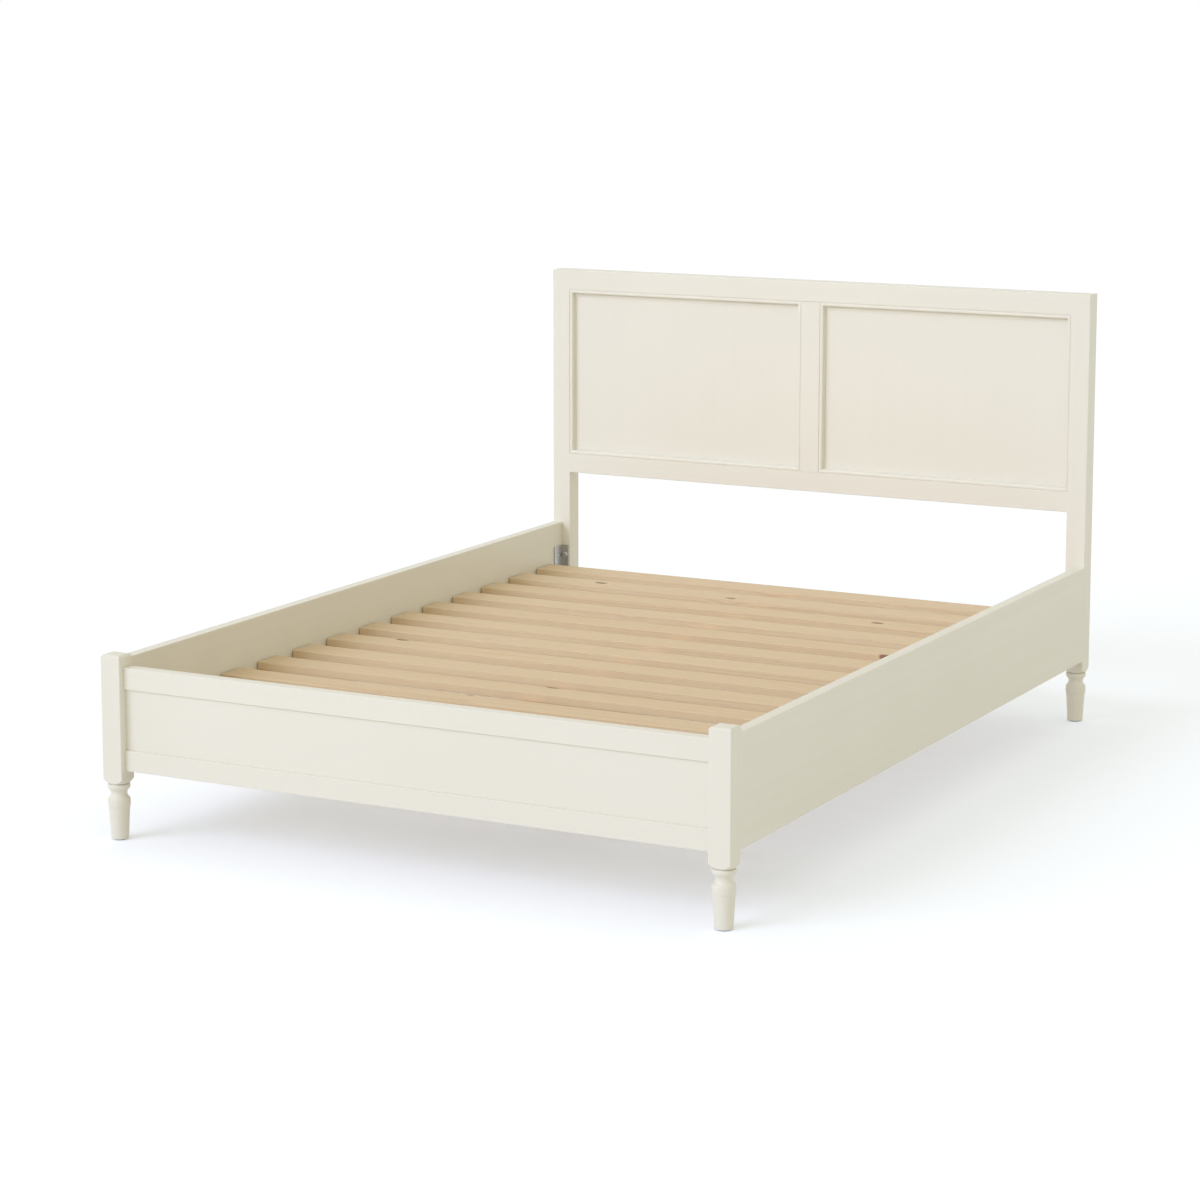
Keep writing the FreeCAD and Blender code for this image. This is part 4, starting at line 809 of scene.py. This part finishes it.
def fastener_seats(node):
    """Top of the head and outward direction of each fastener in a node of the frame."""
    shape = bmesh.new()
    shape.from_mesh(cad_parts[node].data)
    bmesh.ops.remove_doubles(shape, verts=shape.verts, dist=MERGE_DISTANCE)
    waiting = set(shape.verts)
    seats = []
    while waiting:
        island, reached = [], [waiting.pop()]
        while reached:
            vert = reached.pop()
            island.append(vert.co.copy())
            near = {edge.other_vert(vert) for edge in vert.link_edges} & waiting
            waiting -= near
            reached += near
        low, high = (Vector(pick(values) for values in zip(*island)) for pick in (min, max))
        middle = (low + high) / 2
        axis = max(range(3), key=lambda index: high[index] - low[index])
        sides = [index for index in range(3) if index != axis]
        widest = max(island, key=lambda co: sum((co[side] - middle[side]) ** 2 for side in sides))
        heading, top = Vector((0, 0, 0)), middle.copy()
        heading[axis] = 1 if widest[axis] > middle[axis] else -1
        top[axis] = (high if heading[axis] > 0 else low)[axis]
        seats.append((top, heading))
    shape.free()
    return sorted(seats, key=lambda seat: tuple(round(value, 5) for value in seat[0]))


def set_fasteners(name, node, pattern):
    """Copies of one fastener at every seat of a node, each turned a little further."""
    seats = fastener_seats(node)
    if not seats:
        raise RuntimeError(f"{node} has no fasteners")
    template = bpy.data.meshes.new("fastener_pattern")
    pattern.to_mesh(template)
    pattern.free()
    shape = bmesh.new()
    for index, (top, heading) in enumerate(seats):
        start = len(shape.verts)
        shape.from_mesh(template)
        shape.verts.ensure_lookup_table()
        turn = heading.to_track_quat("Z", "Y").to_matrix().to_4x4()
        spin = Matrix.Rotation(index * FASTENER_TURN, 4, "Z")
        bmesh.ops.transform(shape, matrix=Matrix.Translation(top) @ turn @ spin,
                            verts=shape.verts[start:])
    bpy.data.meshes.remove(template)
    add_piece(name, shape, fastener_finish(), "frame", node)


def threaded_rod(shape, radius, low, high, sizes):
    """Closed rod with a helical thread between two heights. Its spare turns are cut off."""
    pitch, root = sizes.thread_pitch, radius - sizes.thread_depth
    steps = sizes.segments
    turns = math.ceil((high - low) / pitch) + SPARE_TURNS
    start = low - SPARE_TURNS_BELOW * pitch
    verts = [shape.verts.new((root + across * (radius - root), 0, start + share * pitch))
             for across, share in THREAD_SHARES]
    edges = [shape.edges.new(pair) for pair in zip(verts, verts[1:])]
    bmesh.ops.spin(shape, geom=verts + edges, cent=(0, 0, 0), axis=(0, 0, 1),
                   dvec=(0, 0, pitch / steps), angle=2 * math.pi * turns,
                   steps=steps * turns, use_merge=False)
    bmesh.ops.remove_doubles(shape, verts=shape.verts, dist=THREAD_MERGE_SHARE * pitch)
    for height, keep_above in ((low, True), (high, False)):
        whole = shape.verts[:] + shape.edges[:] + shape.faces[:]
        cut = bmesh.ops.bisect_plane(shape, geom=whole, dist=CUT_TOLERANCE,
                                     plane_co=(0, 0, height), plane_no=(0, 0, 1),
                                     clear_inner=keep_above, clear_outer=not keep_above)
        ring = [item for item in cut["geom_cut"] if isinstance(item, bmesh.types.BMEdge)]
        bmesh.ops.edgeloop_fill(shape, edges=ring)


def levelling_stud_shape():
    """Threaded stud with its hexagon and the round foot that turns in the pad."""
    sizes = settings().fasteners
    low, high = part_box("leveller_stud")
    hexagon_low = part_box("leveller_pad")[1].z + HEXAGON_GAP
    hexagon_high = hexagon_low + HEXAGON_HEIGHT
    corner = (high.y - low.y) / 2 / math.cos(math.pi / 6)
    chamfered = corner * HEXAGON_CHAMFER_SHARE
    hexagon = ((chamfered, hexagon_low), (corner, hexagon_low + HEXAGON_CHAMFER),
               (corner, hexagon_high - HEXAGON_CHAMFER), (chamfered, hexagon_high))
    foot = ((STUD_FOOT_BASE_RADIUS, low.z), (STUD_FOOT_RADIUS, low.z + STUD_FOOT_BASE_HEIGHT),
            (STUD_FOOT_RADIUS, hexagon_low - STUD_NECK_HEIGHT), (STUD_NECK_RADIUS, hexagon_low))
    shape = bmesh.new()
    threaded_rod(shape, STUD_RADIUS, hexagon_high, high.z, sizes)
    for sides, rings in ((6, hexagon), (sizes.segments, foot)):
        circle = bmesh.ops.create_circle(shape, cap_ends=True, segments=sides,
                                         radius=rings[0][0])["verts"]
        bmesh.ops.rotate(shape, matrix=Matrix.Rotation(math.pi / sides, 3, "Z"), verts=circle)
        bmesh.ops.translate(shape, vec=(0, 0, rings[0][1]), verts=circle)
        grow_rings(shape, edges_among(shape, circle), rings)
    return shape


def moulding_shape(node, side):
    """One mitred length of panel moulding in the place of a plain one."""
    low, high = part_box(node)
    inward = Vector(PANEL_SIDES[side])
    along = Vector((0, 0, 1)) if inward.x else Vector((1, 0, 0))
    width, length = abs((high - low).dot(inward)), (high - low).dot(along)
    corner = Vector(((high if side == "right" else low).x, low.y,
                     (high if side == "top" else low).z))
    shape = bmesh.new()
    for across, deep in MOULDING_SECTION_SHARES:
        shape.verts.new(corner + (along + inward) * across * width
                        + Vector((0, deep * (high.y - low.y), 0)))
    section = bmesh.ops.contextual_create(shape, geom=shape.verts[:])["faces"]
    far_end = new_items(bmesh.ops.extrude_face_region(shape, geom=section), bmesh.types.BMVert)
    for vert in far_end:
        vert.co += along * (length - 2 * (vert.co - corner).dot(inward))
    return shape


# Operators, one for each group of pieces

class Undoable:
    """What the operators share: their work can be changed and undone"""

    bl_options = {"REGISTER", "UNDO"}


class BED_OT_headboard(Undoable, bpy.types.Operator):
    """Paint the headboard's posts, rails, muntin and panels"""

    bl_idname = "bed_frame.headboard"
    bl_label = "Headboard"

    def execute(self, context):
        dress(paint_finish(UPRIGHT), "headboard_post_left", "headboard_post_right",
              "headboard_muntin", "headboard_panel_left", "headboard_panel_right")
        dress(paint_finish(ACROSS), "headboard_top_rail", "headboard_bottom_rail",
              "headboard_lower_rail")
        return {"FINISHED"}


class BED_OT_mouldings(Undoable, bpy.types.Operator):
    """Make the eight mitred lengths of moulding round the headboard's panels"""

    bl_idname = "bed_frame.mouldings"
    bl_label = "Panel Mouldings"

    def execute(self, context):
        for panel in ("left", "right"):
            for side in PANEL_SIDES:
                node = f"moulding_{panel}_panel_{side}"
                direction = ACROSS if side in ("top", "bottom") else UPRIGHT
                add_piece(f"{panel}_panel_moulding_{side}", moulding_shape(node, side),
                          paint_finish(direction), "frame", node)
        return {"FINISHED"}


class BED_OT_foot_end(Undoable, bpy.types.Operator):
    """Paint the foot end's posts, rails and panel"""

    bl_idname = "bed_frame.foot_end"
    bl_label = "Foot End"

    def execute(self, context):
        dress(paint_finish(UPRIGHT), "foot_post_left", "foot_post_right")
        dress(paint_finish(ACROSS), "foot_top_rail", "foot_bottom_rail", "foot_panel")
        return {"FINISHED"}


class BED_OT_side_rails(Undoable, bpy.types.Operator):
    """Paint the two deep side rails"""

    bl_idname = "bed_frame.side_rails"
    bl_label = "Side Rails"

    def execute(self, context):
        dress(paint_finish(ALONG), "side_rail_left", "side_rail_right")
        return {"FINISHED"}


class BED_OT_turned_feet(Undoable, bpy.types.Operator):
    """Paint the four turned feet, with the brush marks running round them"""

    bl_idname = "bed_frame.turned_feet"
    bl_label = "Turned Feet"

    def execute(self, context):
        dress(paint_finish(ROUND), *(f"{place}_foot" for place in ENDS_AND_SIDES))
        return {"FINISHED"}


class BED_OT_slatted_base(Undoable, bpy.types.Operator):
    """Give the slats and their ledgers the grain of bare pine"""

    bl_idname = "bed_frame.slatted_base"
    bl_label = "Slatted Base"

    def execute(self, context):
        slats = [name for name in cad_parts
                 if name.startswith("slat_") and "ledger" not in name]
        dress(pine_finish("pine_slats", ACROSS, per_slat=True), *slats)
        dress(pine_finish("pine_along", ALONG), "slat_ledger_left", "slat_ledger_right")
        return {"FINISHED"}


class BED_OT_centre_support(Undoable, bpy.types.Operator):
    """Give the centre beam and its leg the grain of bare pine"""

    bl_idname = "bed_frame.centre_support"
    bl_label = "Centre Support"

    def execute(self, context):
        dress(pine_finish("pine_along", ALONG), "centre_beam")
        dress(pine_finish("pine_upright", UPRIGHT), "centre_leg")
        return {"FINISHED"}


class BED_OT_dowels(Undoable, bpy.types.Operator):
    """Give the joints' dowels their close beech grain"""

    bl_idname = "bed_frame.dowels"
    bl_label = "Dowels"

    def execute(self, context):
        dress(beech_finish(), "frame_dowels")
        return {"FINISHED"}


class BED_OT_steel_fittings(Undoable, bpy.types.Operator):
    """Plate the corner brackets, beam hangers, threaded inserts and hanger bolts"""

    bl_idname = "bed_frame.steel_fittings"
    bl_label = "Steel Fittings"

    def execute(self, context):
        brackets = [f"{place}_bracket" for place in ENDS_AND_SIDES]
        dress(zinc_finish("zinc_plate", 0.0008, 1.0), *brackets, "beam_hanger_foot",
              "beam_hanger_head")
        dress(fastener_finish(), "threaded_inserts", "hanger_bolts")
        return {"FINISHED"}


class BED_OT_glides_and_pad(Undoable, bpy.types.Operator):
    """Give the glides and the levelling pad their moulded nylon"""

    bl_idname = "bed_frame.glides_and_pad"
    bl_label = "Glides and Levelling Pad"

    def execute(self, context):
        dress(nylon_finish(), "foot_glides", "leveller_pad")
        return {"FINISHED"}


class BED_OT_slat_screws(Undoable, bpy.types.Operator):
    """Make the countersunk cross-head screws of the slats and ledgers"""

    bl_idname = "bed_frame.slat_screws"
    bl_label = "Slat and Ledger Screws"

    def execute(self, context):
        set_fasteners("slat_and_ledger_screws", "wood_screws", fastener(SLAT_SCREW_RINGS))
        return {"FINISHED"}


class BED_OT_fitting_screws(Undoable, bpy.types.Operator):
    """Make the pan-head screws of the corner brackets and beam hangers"""

    bl_idname = "bed_frame.fitting_screws"
    bl_label = "Fitting Screws"

    def execute(self, context):
        set_fasteners("bracket_and_hanger_screws", "bracket_screws",
                      fastener(FITTING_SCREW_RINGS))
        return {"FINISHED"}


class BED_OT_socket_bolts(Undoable, bpy.types.Operator):
    """Make the socket-head bolts that hold the corner brackets to the posts"""

    bl_idname = "bed_frame.socket_bolts"
    bl_label = "Socket Bolts"

    def execute(self, context):
        set_fasteners("bracket_socket_bolts", "bracket_bolts",
                      fastener(SOCKET_BOLT_RINGS, socket=True))
        return {"FINISHED"}


class BED_OT_levelling_stud(Undoable, bpy.types.Operator):
    """Make the threaded levelling stud of the centre leg"""

    bl_idname = "bed_frame.levelling_stud"
    bl_label = "Levelling Stud"

    def execute(self, context):
        add_piece("threaded_levelling_stud", levelling_stud_shape(), fastener_finish(),
                  "levelling_stud", "leveller_stud")
        return {"FINISHED"}


# Stage

def seen_directly(tree):
    """Whether a ray comes from the camera, straight or by a mirror or glass."""
    rays = add_node(tree, "ShaderNodeLightPath").outputs
    bent = calculate(tree, "MAXIMUM", rays["Is Glossy Ray"], rays["Is Transmission Ray"])
    return calculate(tree, "MAXIMUM", rays["Is Camera Ray"], bent)


def floor_material(stage):
    """Pale floor that stays white where no shadow falls on it."""
    material, tree = start_material("studio_floor")
    seen = seen_directly(tree)
    pale = blend_colours(tree, seen, stage.floor_colour, WHITE)
    surface = add_node(tree, "ShaderNodeBsdfDiffuse", {"Color": pale})
    glow = add_node(tree, "ShaderNodeEmission", {"Color": solid(stage.floor_lift),
                                                 "Strength": seen})
    both = add_node(tree, "ShaderNodeAddShader", {0: surface.outputs[0], 1: glow.outputs[0]})
    add_node(tree, "ShaderNodeOutputMaterial", {"Surface": both.outputs[0]})
    return material


def set_world(stage):
    """White background for the camera and an even fill light for everything else."""
    world = bpy.context.scene.world or bpy.data.worlds.new("studio")
    bpy.context.scene.world = world
    tree = empty_tree(world)
    fill = add_node(tree, "ShaderNodeBackground", {
        "Color": solid(stage.fill_colour), "Strength": stage.fill_strength})
    white = add_node(tree, "ShaderNodeBackground", {"Color": solid(WHITE), "Strength": 1.0})
    mixed = add_node(tree, "ShaderNodeMixShader", {
        0: seen_directly(tree), 1: fill.outputs[0], 2: white.outputs[0]})
    add_node(tree, "ShaderNodeOutputWorld", {"Surface": mixed.outputs[0]})


class BED_OT_stage(Undoable, bpy.types.Operator):
    """Set up the floor, the soft lights and the camera"""

    bl_idname = "bed_frame.stage"
    bl_label = "Studio Stage"

    def execute(self, context):
        stage = settings().stage
        shape = bmesh.new()
        bmesh.ops.create_grid(shape, x_segments=1, y_segments=1, size=stage.floor_width / 2)
        mesh = bpy.data.meshes.new("studio_floor")
        shape.to_mesh(mesh)
        shape.free()
        mesh.materials.append(floor_material(stage))
        fresh_object("studio_floor", mesh)
        set_world(stage)
        lamp = bpy.data.lights.new("key_light", "SUN")
        lamp.energy = stage.key_strength
        lamp.angle = stage.key_softness
        lamp.color = stage.key_colour
        key = fresh_object("key_light", lamp)
        key.rotation_euler = Vector(stage.key_from).to_track_quat("Z", "Y").to_euler()
        panel = bpy.data.lights.new("head_light", "AREA")
        panel.energy = stage.head_strength
        panel.size = stage.head_width
        panel.spread = stage.head_spread
        head = fresh_object("head_light", panel)
        head.location = stage.head_stand
        low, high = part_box("headboard_top_rail")
        aim = Vector(stage.head_stand) - Vector((0, low.y, HEAD_AIM_SHARE * high.z))
        head.rotation_euler = aim.to_track_quat("Z", "Y").to_euler()
        lens = bpy.data.cameras.new("studio_camera")
        lens.lens = stage.lens
        lens.sensor_width = SENSOR_WIDTH
        lens.shift_y = stage.rise
        lens.clip_start = NEAREST
        lens.clip_end = FARTHEST
        camera = fresh_object("studio_camera", lens)
        camera.location = stage.stand
        camera.rotation_euler = Euler((math.pi / 2 - stage.tilt, 0, stage.turn))
        scene = bpy.context.scene
        scene.camera = camera
        scene.view_settings.view_transform = "Standard"
        return {"FINISHED"}


OPERATORS = (BED_OT_headboard, BED_OT_mouldings, BED_OT_foot_end, BED_OT_side_rails,
             BED_OT_turned_feet, BED_OT_slatted_base, BED_OT_centre_support, BED_OT_dowels,
             BED_OT_steel_fittings, BED_OT_glides_and_pad, BED_OT_slat_screws,
             BED_OT_fitting_screws, BED_OT_socket_bolts, BED_OT_levelling_stud, BED_OT_stage)


class BED_PT_panel(bpy.types.Panel):
    """Settings and makers of the bed frame's finishes"""

    bl_idname = "BED_PT_panel"
    bl_label = "Bed Frame"
    bl_space_type = "VIEW_3D"
    bl_region_type = "UI"
    bl_category = "Bed Frame"

    def draw(self, context):
        bed = context.scene.bed_frame
        for label in type(bed).__annotations__:
            part = getattr(bed, label)
            box = self.layout.box()
            box.label(text=label.title())
            for name in type(part).__annotations__:
                box.prop(part, name)
        for operator in OPERATORS:
            self.layout.operator(operator.bl_idname)


CLASSES = (PaintSettings, TimberSettings, MetalSettings, NylonSettings, FastenerSettings,
           StageSettings, BedFrameSettings, *OPERATORS, BED_PT_panel)


def register():
    for item in CLASSES:
        bpy.utils.register_class(item)
    bpy.types.Scene.bed_frame = PointerProperty(type=BedFrameSettings)


def unregister():
    del bpy.types.Scene.bed_frame
    for item in reversed(CLASSES):
        bpy.utils.unregister_class(item)


def main():
    register()
    for operator in OPERATORS:
        getattr(bpy.ops.bed_frame, operator.bl_idname.partition(".")[2])()


if __name__ == "__main__":
    main()
